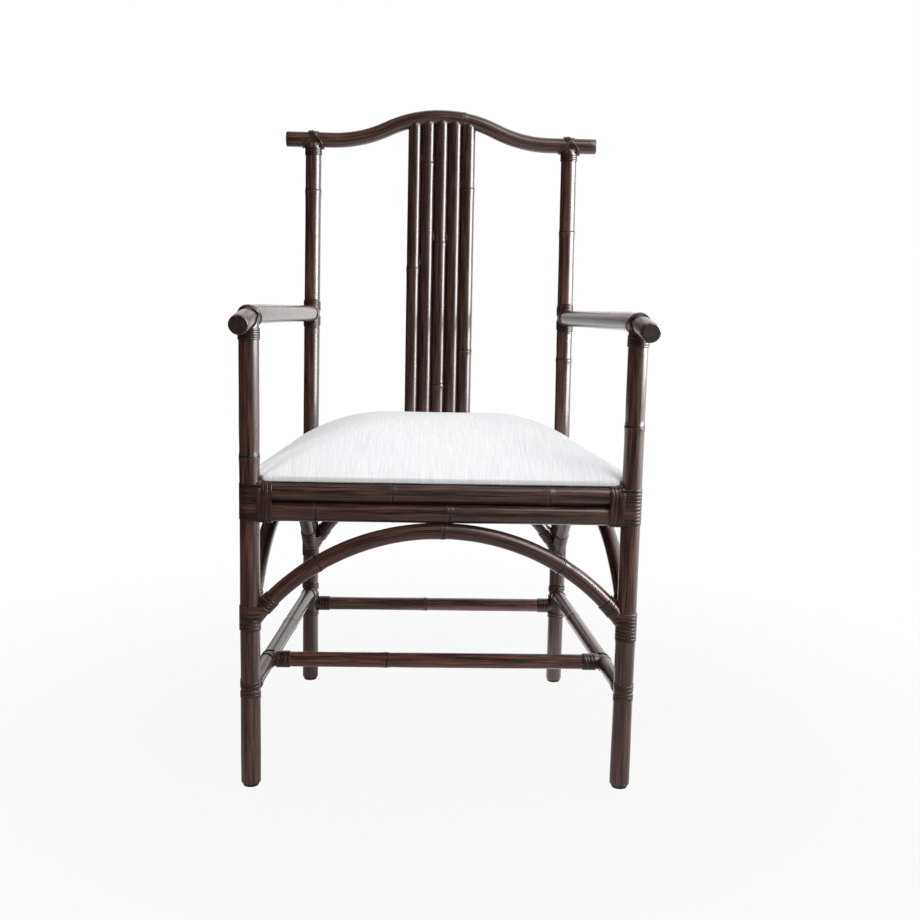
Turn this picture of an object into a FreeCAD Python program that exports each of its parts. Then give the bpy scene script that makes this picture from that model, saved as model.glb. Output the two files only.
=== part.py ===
"""Armchair of bound rattan poles with a padded seat.

Frame: millimetres, +Z up, +Y towards the back, +X to the right as seen from the front.
The origin is on the floor, under the middle of the chair.
"""
import FreeCAD, Part
import math
import os
from collections import defaultdict, namedtuple

from FreeCAD import Vector

doc = FreeCAD.newDocument("bound_pole_armchair")

# Driving sizes, in millimetres and degrees
SIZES = {
    # pole diameters
    "front_leg_diameter": 27.0,
    "rear_leg_diameter": 26.0,
    "arm_diameter": 26.0,
    "crest_diameter": 25.0,
    "rail_diameter": 26.0,
    "arch_diameter": 21.0,
    "stretcher_diameter": 22.0,
    "back_pole_diameter": 22.0,
    "joint_gap": 0.2,
    "saddle_depth": 5.0,
    # plan of the legs, between pole axes
    "front_leg_pitch": 512.0,
    "rear_leg_pitch": 426.0,
    "leg_depth": 441.0,
    # seat rails, arches and stretchers, heights of pole axes
    "upper_rail_height": 412.0,
    "rail_pitch": 26.5,
    "arch_foot_height": 230.0,
    "side_stretcher_front_height": 138.0,
    "side_stretcher_rear_height": 158.0,
    "rear_stretcher_height": 136.0,
    "cross_stretcher_setback": 112.0,
    # rear legs, crest and back poles
    "post_bend_height": 430.0,
    "post_bend_radius": 900.0,
    "back_rake": 4.44,
    "crest_height": 919.0,
    "crest_length": 516.0,
    "crest_run": 180.0,
    "crest_rise": 41.5,
    "back_pole_gap": 0.3,
    # arms
    "arm_rear_height": 633.0,
    "arm_slope": 1.7,
    "arm_bend_start": 60.0,
    "arm_bend_radius": 500.0,
    "arm_bend_angle": 13.7,
    # wooden pins in the joints
    "pin_diameter": 6.0,
    "pin_depth": 6.0,
    "pin_reach": 16.0,
    "pin_clearance": 0.1,
    # glides under the legs
    "glide_height": 4.0,
    "glide_foot_diameter": 21.0,
    "glide_top_diameter": 24.0,
    "nail_diameter": 3.0,
    "nail_length": 18.0,
    # padded seat
    "seat_front_overhang": 4.0,
    "seat_side_overhang": 6.0,
    "seat_back_gap": 3.0,
    "seat_corner_radius": 30.0,
    "seat_leg_gap": 2.5,
    "cushion_height": 68.0,
    "cushion_edge_height": 8.5,
    "cushion_draw": 1.0,
    "cushion_bulge": 2.0,
    "cushion_crown_run": 146.0,
    "cover_thickness": 1.2,
    "cover_flange": 28.0,
    "board_thickness": 6.0,
    "seat_fit": 0.2,
    "relief_radius": 42.0,
    "relief_height": 3.8,
    "dust_cover_inset": 17.0,
    "dust_cover_thickness": 0.8,
    # screws up through the side rails
    "screw_diameter": 5.0,
    "screw_head_diameter": 9.0,
    "screw_head_height": 3.0,
    "screw_recess": 4.0,
    "screw_tip_cover": 1.5,
    "screw_clearance": 0.25,
    "front_screw_setback": 90.0,
    "rear_screw_setback": 91.0,
    # cane bindings
    "cane_diameter": 3.0,
    "cane_pitch": 4.2,
    "cane_gap": 0.3,
    "cane_margin": 2.4,
    "cane_corner_margin": 4.5,
    "leg_turns": 3,
    "rail_turns": 4,
    "arch_turns": 3,
    "stretcher_turns": 3,
    "arm_turns": 2,
    "crest_turns": 2,
    "post_turns": 4,
}

SIDES = {"left": -1, "right": 1}
BACK_POLES = 5
CROWN_STEPS = 6
# How soon the crown flattens: 1 is a straight slope up to the flat top
CROWN_POWER = 1.6
# A seat corner's radius is at most this share of the outline's shorter side
CORNER_SHARE = 0.4
SLAB_SIDE = 1200.0

sheet = doc.addObject("Spreadsheet::Sheet", "sizes")
for row, (alias, value) in enumerate(SIZES.items(), start=1):
    sheet.set(f"A{row}", str(value))
    sheet.setAlias(f"A{row}", alias)
doc.recompute()

# Places worked out from the driving sizes
layout = doc.addObject("App::VarSet", "layout")


def derive(name, formula):
    """Add a place or length that follows from the sheet."""
    layout.addProperty("App::PropertyFloat", name)
    layout.setExpression(name, formula)


derive("front_x", "sizes.front_leg_pitch / 2")
derive("rear_x", "sizes.rear_leg_pitch / 2")
derive("rake_slope", "tan(sizes.back_rake)")
derive("crest_turn", "2 * atan(sizes.crest_rise / sizes.crest_run)")
derive("crest_bend", "sizes.crest_run / sin(crest_turn) / 2")
derive("crest_depth", "sizes.leg_depth + rake_slope * (sizes.crest_height - sizes.post_bend_height)")
derive("back_reach", "crest_depth + sizes.crest_rise * sin(sizes.back_rake) + sizes.crest_diameter / 2")
derive("arm_depth", "sizes.leg_depth + rake_slope * (sizes.arm_rear_height - sizes.post_bend_height)")
derive("arm_splay", "front_x - rear_x")
derive("arm_run", "sqrt(arm_splay^2 + arm_depth^2)")
derive("arm_tip_slope", "sizes.arm_bend_angle - sizes.arm_slope")
derive("arm_straight", "(arm_run - sizes.arm_bend_start) / cos(sizes.arm_slope)")
derive("arm_bend_x", "arm_run - sizes.arm_bend_start + sizes.arm_bend_radius * sin(sizes.arm_slope)")
derive(
    "arm_bend_z",
    "sizes.arm_rear_height + arm_straight * sin(sizes.arm_slope)"
    " - sizes.arm_bend_radius * cos(sizes.arm_slope)",
)
derive("arm_leg_slope", "asin((arm_run - arm_bend_x) / sizes.arm_bend_radius)")
derive("arm_reach", "arm_bend_x + sizes.arm_bend_radius * sin(arm_tip_slope)")
derive("arm_leg_height", "arm_bend_z + sqrt(sizes.arm_bend_radius^2 - (arm_run - arm_bend_x)^2)")
derive(
    "front_reach",
    "arm_depth - arm_reach * arm_depth / arm_run"
    " - sizes.arm_diameter / 2 * sqrt(1 - (cos(arm_tip_slope) * arm_depth / arm_run)^2)",
)
derive("front_y", "-(back_reach + front_reach) / 2")
derive("rear_y", "front_y + sizes.leg_depth")
derive("crest_y", "front_y + crest_depth")
derive("arm_rear_y", "front_y + arm_depth")
derive("lower_rail_height", "sizes.upper_rail_height - sizes.rail_pitch")
derive(
    "arch_top",
    "lower_rail_height - sizes.rail_diameter / 2 - sizes.joint_gap - sizes.arch_diameter / 2",
)
derive("arch_rise", "arch_top - sizes.arch_foot_height")
derive("side_run", "sqrt((front_x - rear_x)^2 + sizes.leg_depth^2)")
derive("side_slope", "(front_x - rear_x) / sizes.leg_depth")
derive("seat_base", "sizes.upper_rail_height + sizes.rail_diameter / 2 + sizes.joint_gap")
derive("post_bend_base", "sizes.post_bend_height - sizes.post_bend_radius * tan(sizes.back_rake / 2)")
doc.recompute()


# Formulas for points, turns and places
def vector(x, y, z):
    """Formula of a vector."""
    return f"create(<<vector>>; {x}; {y}; {z})"


def place(point=("0", "0", "0"), yaw="0", pitch="0", roll="0"):
    """Formula of a placement: yaw about Z after pitch about Y after roll about X."""
    turn = f"create(<<rotation>>; {yaw}; {pitch}; {roll})"
    return f"create(<<placement>>; {vector(*point)}; {turn})"


# A pole is a row of straight and bent stretches of one radius
Straight = namedtuple("Straight", "place length")
Bend = namedtuple("Bend", "place radius angle")
Pole = namedtuple("Pole", "name radius stretches")


def straight_between(start, end):
    """Straight stretch along +Z of its own place, from one point to another."""
    dx, dy, dz = (f"({b} - ({a}))" for a, b in zip(start, end))
    length = f"sqrt({dx}^2 + {dy}^2 + {dz}^2)"
    return Straight(place(start, yaw=f"atan2({dy}; {dx})", pitch=f"acos({dz} / {length})"), length)


def along(stretch, distance):
    """Place at a distance along a stretch, with +Z running on along the pole."""
    if isinstance(stretch, Straight):
        return f"{stretch.place} * {place(('0', '0', distance))}"
    turn = f"({distance}) / ({stretch.radius}) * 180 / pi"
    return f"{stretch.place} * {place(yaw=turn)} * {place((stretch.radius, '0', '0'), roll='-90')}"


def length_of(stretch):
    """Formula of a stretch's length along its axis."""
    if isinstance(stretch, Straight):
        return stretch.length
    return f"({stretch.radius} * {stretch.angle} * pi / 180)"


def half(diameter):
    """Formula of a radius from the name of a diameter."""
    return f"sizes.{diameter} / 2"


def primitive(kind, name, where, **sizes):
    """Part primitive whose sizes and place are formulas."""
    thing = doc.addObject(f"Part::{kind}", name)
    for size, formula in sizes.items():
        thing.setExpression(size, formula)
    thing.setExpression("Placement", where)
    return thing


def fuse(name, pieces):
    """One solid of several, or the piece itself when it is alone."""
    if len(pieces) == 1:
        return pieces[0]
    joined = doc.addObject("Part::MultiFuse", name)
    joined.Shapes = pieces
    joined.Refine = False
    return joined


def cut(name, base, tools):
    """A piece with the tools taken away from it."""
    result = doc.addObject("Part::Cut", name)
    result.Base = base
    result.Tool = fuse(f"{name}_tools", tools)
    result.Refine = False
    result.Label = name
    return result


def group(name, pieces):
    """Several separate solids under one name."""
    result = doc.addObject("Part::Compound", name)
    result.Links = pieces
    result.Label = name
    return result


def stock(pole, suffix, grow="0", trims=("0", "0")):
    """Solid of a whole pole, grown where it shapes a neighbour or trimmed at its straight ends."""
    pieces = []
    for number, stretch in enumerate(pole.stretches, start=1):
        name = f"{pole.name}_{suffix}_{number}"
        radius = f"{pole.radius} + {grow}"
        if isinstance(stretch, Straight):
            start = trims[0] if number == 1 else "0"
            end = trims[1] if number == len(pole.stretches) else "0"
            height = f"{stretch.length} - ({start}) - ({end})"
            pieces.append(primitive("Cylinder", name, along(stretch, start), Radius=radius, Height=height))
        else:
            pieces.append(
                primitive(
                    "Torus", name, stretch.place,
                    Radius1=stretch.radius, Radius2=radius, Angle3=stretch.angle,
                )
            )
    return fuse(f"{pole.name}_{suffix}", pieces)


# The poles of the frame
poles = {}


def add_pole(name, diameter, stretches):
    """Keep a pole under its name."""
    poles[name] = Pole(name, half(diameter), stretches)
    return poles[name]


def leg_point(side, row, height):
    """Point on a leg's axis below the bend."""
    return (f"{SIDES[side]} * layout.{row}_x", f"layout.{row}_y", height)


for side in SIDES:
    add_pole(
        f"front_leg_{side}",
        "front_leg_diameter",
        [
            straight_between(
                leg_point(side, "front", "sizes.glide_height"),
                leg_point(side, "front", "layout.arm_leg_height"),
            )
        ],
    )

for side, sign in SIDES.items():
    x = f"{sign} * layout.rear_x"
    bend_centre = (x, "layout.rear_y + sizes.post_bend_radius", "layout.post_bend_base")
    bend_end = (
        x,
        "(layout.rear_y + sizes.post_bend_radius * (1 - cos(sizes.back_rake)))",
        "(layout.post_bend_base + sizes.post_bend_radius * sin(sizes.back_rake))",
    )
    add_pole(
        f"rear_leg_{side}",
        "rear_leg_diameter",
        [
            straight_between(
                leg_point(side, "rear", "sizes.glide_height"),
                leg_point(side, "rear", "layout.post_bend_base"),
            ),
            Bend(
                f"{place(bend_centre, yaw='90', roll='90')} * {place(yaw='180 - sizes.back_rake')}",
                "sizes.post_bend_radius",
                "sizes.back_rake",
            ),
            straight_between(bend_end, (x, "layout.crest_y", "sizes.crest_height")),
        ],
    )

crest_plane = place(("0", "layout.crest_y", "sizes.crest_height"), roll="90 - sizes.back_rake")
crest_end = "sizes.crest_length / 2 - sizes.crest_run"
crest_low_y = "layout.crest_bend"
crest_high_y = "sizes.crest_rise - layout.crest_bend"
add_pole(
    "crest_rail",
    "crest_diameter",
    [
        Straight(f"{crest_plane} * {place(('sizes.crest_run', '0', '0'), pitch='90')}", crest_end),
        Straight(f"{crest_plane} * {place(('-sizes.crest_run', '0', '0'), pitch='-90')}", crest_end),
        Bend(
            f"{crest_plane} * {place(('sizes.crest_run', crest_low_y, '0'), yaw='-90 - layout.crest_turn')}",
            "layout.crest_bend",
            "layout.crest_turn",
        ),
        Bend(
            f"{crest_plane} * {place(('-sizes.crest_run', crest_low_y, '0'), yaw='-90')}",
            "layout.crest_bend",
            "layout.crest_turn",
        ),
        Bend(
            f"{crest_plane} * {place(('0', crest_high_y, '0'), yaw='90 - layout.crest_turn')}",
            "layout.crest_bend",
            "2 * layout.crest_turn",
        ),
    ],
)

for side, sign in SIDES.items():
    arm_plane = place(
        (f"{sign} * layout.rear_x", "layout.arm_rear_y", "0"),
        yaw=f"atan2(-layout.arm_depth; {sign} * layout.arm_splay)",
        roll="90",
    )
    bend_yaw = "90 - layout.arm_tip_slope"
    add_pole(
        f"arm_{side}",
        "arm_diameter",
        [
            Straight(
                f"{arm_plane} * {place(('0', 'sizes.arm_rear_height', '0'), yaw='sizes.arm_slope')}"
                f" * {place(pitch='90')}",
                "layout.arm_straight",
            ),
            Bend(
                f"{arm_plane} * {place(('layout.arm_bend_x', 'layout.arm_bend_z', '0'), yaw=bend_yaw)}",
                "sizes.arm_bend_radius",
                "sizes.arm_bend_angle",
            ),
        ],
    )


def crest_point(x):
    """Point on the crest's axis above a place on the hump."""
    lift = f"(sizes.crest_rise - layout.crest_bend + sqrt(layout.crest_bend^2 - ({x})^2))"
    return (
        x,
        f"(layout.crest_y + {lift} * sin(sizes.back_rake))",
        f"(sizes.crest_height + {lift} * cos(sizes.back_rake))",
    )


for number in range(1, BACK_POLES + 1):
    x = f"({number - (BACK_POLES + 1) / 2} * (sizes.back_pole_diameter + sizes.back_pole_gap))"
    add_pole(
        f"back_pole_{number}",
        "back_pole_diameter",
        [straight_between((x, "layout.rear_y", "sizes.upper_rail_height"), crest_point(x))],
    )

# Each run of rails and arches goes between two legs
RUNS = {
    "front": (("left", "front"), ("right", "front")),
    "rear": (("left", "rear"), ("right", "rear")),
    "left": (("left", "front"), ("left", "rear")),
    "right": (("right", "front"), ("right", "rear")),
}
RAIL_HEIGHTS = {"upper": "sizes.upper_rail_height", "lower": "layout.lower_rail_height"}
LEG_DIAMETERS = {"front": "front_leg_diameter", "rear": "rear_leg_diameter"}

for run, ends in RUNS.items():
    for level, height in RAIL_HEIGHTS.items():
        start, end = (leg_point(side, row, height) for side, row in ends)
        add_pole(f"{run}_rail_{level}", "rail_diameter", [straight_between(start, end)])

ARCH_SPANS = {
    "front": "sizes.front_leg_pitch",
    "rear": "sizes.rear_leg_pitch",
    "left": "layout.side_run",
    "right": "layout.side_run",
}
for run, span in ARCH_SPANS.items():
    derive(f"{run}_arch_bend", f"(({span} / 2)^2 + arch_rise^2) / (2 * arch_rise)")
    derive(f"{run}_arch_half", f"atan2({span} / 2; {run}_arch_bend - arch_rise)")
    for row in sorted({row for _, row in RUNS[run]}):
        leg = half(LEG_DIAMETERS[row])
        derive(f"{run}_arch_{row}_angle", f"asin(({span} / 2 - {leg}) / {run}_arch_bend)")
        past_leg = f"({run}_arch_half - {run}_arch_{row}_angle)"
        derive(f"{run}_arch_{row}_inset", f"{run}_arch_bend * {past_leg} * pi / 180")
    start, end = (leg_point(side, row, "layout.arch_top") for side, row in RUNS[run])
    centre = (
        f"({start[0]} + {end[0]}) / 2",
        f"({start[1]} + {end[1]}) / 2",
        f"layout.arch_top - layout.{run}_arch_bend",
    )
    yaw = f"atan2({end[1]} - ({start[1]}); {end[0]} - ({start[0]}))"
    add_pole(
        f"{run}_arch",
        "arch_diameter",
        [
            Bend(
                f"{place(centre, yaw=yaw, roll='90')} * {place(yaw=f'90 - layout.{run}_arch_half')}",
                f"layout.{run}_arch_bend",
                f"2 * layout.{run}_arch_half",
            )
        ],
    )

for side in SIDES:
    add_pole(
        f"{side}_stretcher",
        "stretcher_diameter",
        [
            straight_between(
                leg_point(side, "front", "sizes.side_stretcher_front_height"),
                leg_point(side, "rear", "sizes.side_stretcher_rear_height"),
            )
        ],
    )
setback_share = "sizes.cross_stretcher_setback / sizes.leg_depth"
cross_height = (
    "(sizes.side_stretcher_front_height + (sizes.side_stretcher_rear_height"
    f" - sizes.side_stretcher_front_height) * {setback_share})"
)
cross_x = "(layout.front_x - layout.side_slope * sizes.cross_stretcher_setback)"
cross_y = "(layout.front_y + sizes.cross_stretcher_setback)"
add_pole(
    "cross_stretcher",
    "stretcher_diameter",
    [straight_between((f"-{cross_x}", cross_y, cross_height), (cross_x, cross_y, cross_height))],
)
add_pole(
    "rear_stretcher",
    "stretcher_diameter",
    [
        straight_between(
            leg_point("left", "rear", "sizes.rear_stretcher_height"),
            leg_point("right", "rear", "sizes.rear_stretcher_height"),
        )
    ],
)

# What each pole is shaped to fit: its carriers first, then the neighbours beside it
carriers = {
    **{f"front_leg_{side}": [f"arm_{side}"] for side in SIDES},
    **{f"rear_leg_{side}": ["crest_rail"] for side in SIDES},
    **{f"arm_{side}": [f"rear_leg_{side}"] for side in SIDES},
    **{f"back_pole_{n}": ["rear_rail_upper", "crest_rail"] for n in range(1, BACK_POLES + 1)},
    "cross_stretcher": [f"{side}_stretcher" for side in SIDES],
    "rear_stretcher": [f"rear_leg_{side}" for side in SIDES],
}
for run, ends in RUNS.items():
    legs = [f"{row}_leg_{side}" for side, row in ends]
    beside = [] if run in ("front", "rear") else ["front", "rear"]
    for level in RAIL_HEIGHTS:
        carriers[f"{run}_rail_{level}"] = legs + [f"{other}_rail_{level}" for other in beside]
    carriers[f"{run}_arch"] = legs + [f"{other}_arch" for other in beside]
for side in SIDES:
    carriers[f"{side}_stretcher"] = [f"front_leg_{side}", f"rear_leg_{side}", "rear_stretcher"]

clearances = {}


def clearance(name):
    """Solid of a pole grown by the joint gap, made once."""
    if name not in clearances:
        clearances[name] = stock(poles[name], "clearance", "sizes.joint_gap")
    return clearances[name]


# Wooden pins along the pole that ends in a joint, with a bore in both poles
tools = {name: [clearance(other) for other in others] for name, others in carriers.items()}
tools["crest_rail"] = []
pins = defaultdict(list)


def add_pin(kind, name, where, hosts, ahead, behind):
    """Pin along +Z of a place: ahead into one pole, behind into the other."""
    start = place(("0", "0", f"-({behind})"))
    pin = primitive(
        "Cylinder", name, f"{where} * {start}",
        Radius=half("pin_diameter"), Height=f"{ahead} + {behind}",
    )
    bore_start = place(("0", "0", f"-({behind}) - sizes.pin_clearance"))
    bore = primitive(
        "Cylinder", f"{name}_bore", f"{where} * {bore_start}",
        Radius=f"{half('pin_diameter')} + sizes.pin_clearance",
        Height=f"{ahead} + {behind} + 2 * sizes.pin_clearance",
    )
    pins[kind].append(pin)
    for host in hosts:
        tools[host].append(bore)


def add_end_pins(kind, name, start_inset, end_inset):
    """Pins at both ends of a pole of one stretch, where it meets its first two carriers."""
    stretch = poles[name].stretches[0]
    first, second = carriers[name][:2]
    start = along(stretch, start_inset)
    end = along(stretch, f"{length_of(stretch)} - ({end_inset})")
    add_pin(kind, f"{name}_pin_1", start, (name, first), "sizes.pin_reach", "sizes.pin_depth")
    add_pin(kind, f"{name}_pin_2", end, (name, second), "sizes.pin_depth", "sizes.pin_reach")


for run, ends in RUNS.items():
    insets = [half(LEG_DIAMETERS[row]) for _, row in ends]
    for level in RAIL_HEIGHTS:
        add_end_pins("rail_pins", f"{run}_rail_{level}", *insets)
    arch_insets = [f"layout.{run}_arch_{row}_inset" for _, row in ends]
    carriers[f"{run}_arch"][:2] = reversed(carriers[f"{run}_arch"][:2])
    add_end_pins("arch_pins", f"{run}_arch", *reversed(arch_insets))
for side in SIDES:
    add_end_pins("stretcher_pins", f"{side}_stretcher", half("front_leg_diameter"), half("rear_leg_diameter"))
add_end_pins("stretcher_pins", "cross_stretcher", half("stretcher_diameter"), half("stretcher_diameter"))
add_end_pins("stretcher_pins", "rear_stretcher", half("rear_leg_diameter"), half("rear_leg_diameter"))
for number in range(1, BACK_POLES + 1):
    add_end_pins("back_pole_pins", f"back_pole_{number}", half("rail_diameter"), half("crest_diameter"))
for side in SIDES:
    post = poles[f"rear_leg_{side}"].stretches[2]
    post_top = along(post, f"{post.length} - {half('crest_diameter')}")
    add_pin(
        "crest_pins", f"crest_pin_{side}", post_top, (f"rear_leg_{side}", "crest_rail"),
        "sizes.pin_depth", "sizes.pin_reach",
    )
    arm_rear = along(poles[f"arm_{side}"].stretches[0], half("rear_leg_diameter"))
    add_pin(
        "arm_pins", f"arm_rear_pin_{side}", arm_rear, (f"rear_leg_{side}", f"arm_{side}"),
        "sizes.pin_reach", "sizes.pin_depth",
    )
    leg = poles[f"front_leg_{side}"].stretches[0]
    leg_top = along(leg, f"{leg.length} - {half('arm_diameter')}")
    add_pin(
        "arm_pins", f"arm_front_pin_{side}", leg_top, (f"front_leg_{side}", f"arm_{side}"),
        "sizes.pin_depth", "sizes.pin_reach",
    )

# Glides nailed under the legs
glides = []
for row in LEG_DIAMETERS:
    for side in SIDES:
        foot = place(leg_point(side, row, "0"))
        name = f"glide_{row}_{side}"
        pad = primitive(
            "Cone", f"{name}_pad", foot,
            Radius1=half("glide_foot_diameter"),
            Radius2=half("glide_top_diameter"),
            Height="sizes.glide_height",
        )
        nail = primitive(
            "Cylinder", f"{name}_nail", foot,
            Radius=half("nail_diameter"), Height="sizes.glide_height + sizes.nail_length",
        )
        hole = primitive(
            "Cylinder", f"{name}_hole", foot,
            Radius=f"{half('nail_diameter')} + sizes.pin_clearance",
            Height="sizes.glide_height + sizes.nail_length + sizes.pin_clearance",
        )
        glides.append(fuse(name, [pad, nail]))
        tools[f"{row}_leg_{side}"].append(hole)

# Screws up through both side rails into the seat board
screws = []
screw_bores = []
screw_base = f"(layout.lower_rail_height - {half('rail_diameter')} + sizes.screw_recess)"
screw_tip = (
    "(layout.seat_base + sizes.cover_thickness + sizes.seat_fit"
    " + sizes.board_thickness - sizes.screw_tip_cover)"
)
screw_runs = {
    "front": "sizes.front_screw_setback",
    "rear": "(sizes.leg_depth - sizes.rear_screw_setback)",
}
for row, run in screw_runs.items():
    for side, sign in SIDES.items():
        x = f"{sign} * (layout.front_x - layout.side_slope * {run})"
        y = f"layout.front_y + {run}"
        name = f"screw_{row}_{side}"
        shank = primitive(
            "Cylinder", f"{name}_shank", place((x, y, screw_base)),
            Radius=half("screw_diameter"), Height=f"{screw_tip} - {screw_base}",
        )
        head = primitive(
            "Cylinder", f"{name}_head", place((x, y, f"{screw_base} - sizes.screw_head_height")),
            Radius=half("screw_head_diameter"), Height="sizes.screw_head_height",
        )
        screws.append(fuse(name, [shank, head]))
        bore = primitive(
            "Cylinder", f"{name}_bore", place((x, y, screw_base)),
            Radius=f"{half('screw_diameter')} + sizes.screw_clearance",
            Height=f"{screw_tip} - {screw_base} + sizes.screw_clearance",
        )
        sink = primitive(
            "Cylinder", f"{name}_sink", place((x, y, f"{screw_base} - sizes.rail_diameter / 2")),
            Radius=f"{half('screw_head_diameter')} + sizes.screw_clearance",
            Height="sizes.rail_diameter / 2",
        )
        screw_bores.append(bore)
        tools[f"{side}_rail_upper"].append(bore)
        tools[f"{side}_rail_lower"] += [bore, sink]


# The poles with their ends shaped and their holes bored; most ends are shallow saddles
def saddle(diameter):
    """Formula of how far short of a carrier's axis a pole ends."""
    return f"{half(diameter)} - sizes.saddle_depth"


trims = {}
for side in SIDES:
    trims[f"front_leg_{side}"] = ("0", saddle("arm_diameter"))
    trims[f"rear_leg_{side}"] = ("0", saddle("crest_diameter"))
    trims[f"arm_{side}"] = (saddle("rear_leg_diameter"), "0")
    trims[f"{side}_stretcher"] = (saddle("front_leg_diameter"), saddle("rear_leg_diameter"))
trims["cross_stretcher"] = (saddle("stretcher_diameter"), saddle("stretcher_diameter"))
trims["rear_stretcher"] = (saddle("rear_leg_diameter"), saddle("rear_leg_diameter"))
for run, ends in RUNS.items():
    for level in RAIL_HEIGHTS:
        trims[f"{run}_rail_{level}"] = tuple(saddle(LEG_DIAMETERS[row]) for _, row in ends)
nodes = {}
for name, pole in poles.items():
    nodes[name] = cut(name, stock(pole, "stock", trims=trims.get(name, ("0", "0"))), tools[name])
for kind, members in pins.items():
    nodes[kind] = group(kind, members)
nodes["foot_glides"] = group("foot_glides", glides)
nodes["seat_screws"] = group("seat_screws", screws)


# The padded seat
def rounded_outline(corners, radius, height):
    """Closed wire of lines and corner arcs through the corners of a convex outline."""
    edges = []
    runs = []
    for before, corner, after in zip(corners[-1:] + corners[:-1], corners, corners[1:] + corners[:1]):
        back = (before - corner).normalize()
        on = (after - corner).normalize()
        half_angle = back.getAngle(on) / 2
        bisector = (back + on).normalize()
        tangent = radius / math.tan(half_angle)
        middle = corner + bisector * (radius / math.sin(half_angle) - radius)
        runs.append((corner + back * tangent, middle, corner + on * tangent))
    lift = Vector(0, 0, height)
    for here, following in zip(runs, runs[1:] + runs[:1]):
        edges.append(Part.Arc(*(point + lift for point in here)).toShape())
        edges.append(Part.LineSegment(here[2] + lift, following[0] + lift).toShape())
    return Part.Wire(edges)


def seat_outline(inset, height):
    """Outline of the seat over its rails, drawn in by an inset."""
    front = layout.front_y - sheet.seat_front_overhang + inset
    rear = layout.rear_y - sheet.back_pole_diameter / 2 - sheet.seat_back_gap - inset
    side_offset = (sheet.seat_side_overhang - inset) * math.hypot(1, layout.side_slope)
    front_half = layout.front_x - layout.side_slope * (front - layout.front_y) + side_offset
    rear_half = layout.front_x - layout.side_slope * (rear - layout.front_y) + side_offset
    corners = [
        Vector(-front_half, front, 0),
        Vector(front_half, front, 0),
        Vector(rear_half, rear, 0),
        Vector(-rear_half, rear, 0),
    ]
    radius = min(sheet.seat_corner_radius, CORNER_SHARE * min(rear - front, 2 * rear_half))
    return rounded_outline(corners, radius, height)


def cushion_form(name, offset):
    """Crowned form with drawn-in sides, lying an offset inside the seat's outside."""
    base = layout.seat_base
    edge = sheet.cushion_edge_height
    sections = [seat_outline(sheet.cushion_draw + offset, base + offset)]
    for step in range(CROWN_STEPS + 1):
        share = step / CROWN_STEPS
        inset = sheet.cushion_crown_run * share - sheet.cushion_bulge
        rise = (sheet.cushion_height - offset - edge) * (1 - (1 - share) ** CROWN_POWER)
        sections.append(seat_outline(inset + offset, base + edge + rise))
    form = doc.addObject("Part::Feature", name)
    form.Shape = Part.makeLoft(sections, True, True)
    return form


def seat_sheet(name, inset, bottom, top):
    """Flat layer of the seat between two heights."""
    layer = doc.addObject("Part::Feature", name)
    layer.Shape = Part.Face(seat_outline(inset, bottom)).extrude(Vector(0, 0, top - bottom))
    return layer


def leg_notches(name, grow):
    """Round notches that clear the four legs."""
    notches = []
    for row, diameter in LEG_DIAMETERS.items():
        for side in SIDES:
            seat_level = place(leg_point(side, row, "sizes.upper_rail_height"))
            notches.append(
                primitive(
                    "Cylinder", f"{name}_{row}_{side}", seat_level,
                    Radius=f"{half(diameter)} + sizes.seat_leg_gap + {grow}",
                    Height="sizes.rail_diameter + sizes.cushion_height",
                )
            )
    return notches


reliefs = [
    primitive(
        "Cylinder", f"relief_{row}_{side}", place(leg_point(side, row, "sizes.upper_rail_height")),
        Radius="sizes.relief_radius",
        Height="layout.seat_base - sizes.upper_rail_height + sizes.relief_height",
    )
    for row in LEG_DIAMETERS
    for side in SIDES
]
fill_gap = sheet.cover_thickness + sheet.seat_fit
board_base = layout.seat_base + fill_gap
cavity = cut(
    "cushion_cavity",
    cushion_form("cavity_form", sheet.cover_thickness),
    leg_notches("cavity_notch", "sizes.cover_thickness"),
)
filling = cut(
    "cushion_filling",
    cushion_form("filling_form", fill_gap),
    leg_notches("filling_notch", "sizes.cover_thickness + sizes.seat_fit"),
)
below_seat = layout.seat_base - sheet.cover_thickness
opening = seat_sheet("cover_opening", sheet.cover_flange, below_seat, board_base)
nodes["seat_cover"] = cut(
    "seat_cover",
    cushion_form("cover_form", 0.0),
    leg_notches("cover_notch", "0") + reliefs + screw_bores + [cavity, opening],
)


def slab(name, bottom, height):
    """Wide box that keeps one layer of the filling."""
    corner = (f"-{SLAB_SIDE / 2}", f"-{SLAB_SIDE / 2}", bottom)
    return primitive("Box", name, place(corner), Length=f"{SLAB_SIDE}", Width=f"{SLAB_SIDE}", Height=height)


def layer_of_filling(name, bottom, height):
    """The part of the filling that lies in one layer."""
    layer = doc.addObject("Part::Common", name)
    layer.Base = filling
    layer.Tool = slab(f"{name}_slab", bottom, height)
    layer.Label = name
    return layer


board_bottom = "layout.seat_base + sizes.cover_thickness + sizes.seat_fit"
foam_bottom = f"{board_bottom} + sizes.board_thickness"
nodes["seat_board"] = cut(
    "seat_board",
    layer_of_filling("board_layer", board_bottom, "sizes.board_thickness"),
    reliefs + screw_bores,
)
nodes["seat_foam"] = layer_of_filling("seat_foam", foam_bottom, "sizes.cushion_height")
nodes["dust_cover"] = cut(
    "dust_cover",
    seat_sheet(
        "dust_layer",
        sheet.dust_cover_inset,
        layout.seat_base - sheet.joint_gap - sheet.dust_cover_thickness,
        layout.seat_base - sheet.joint_gap,
    ),
    reliefs,
)

# Cane bindings: each one an unbroken tube wound round one pole or a pair of rails
cane_shapes = {}


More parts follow.
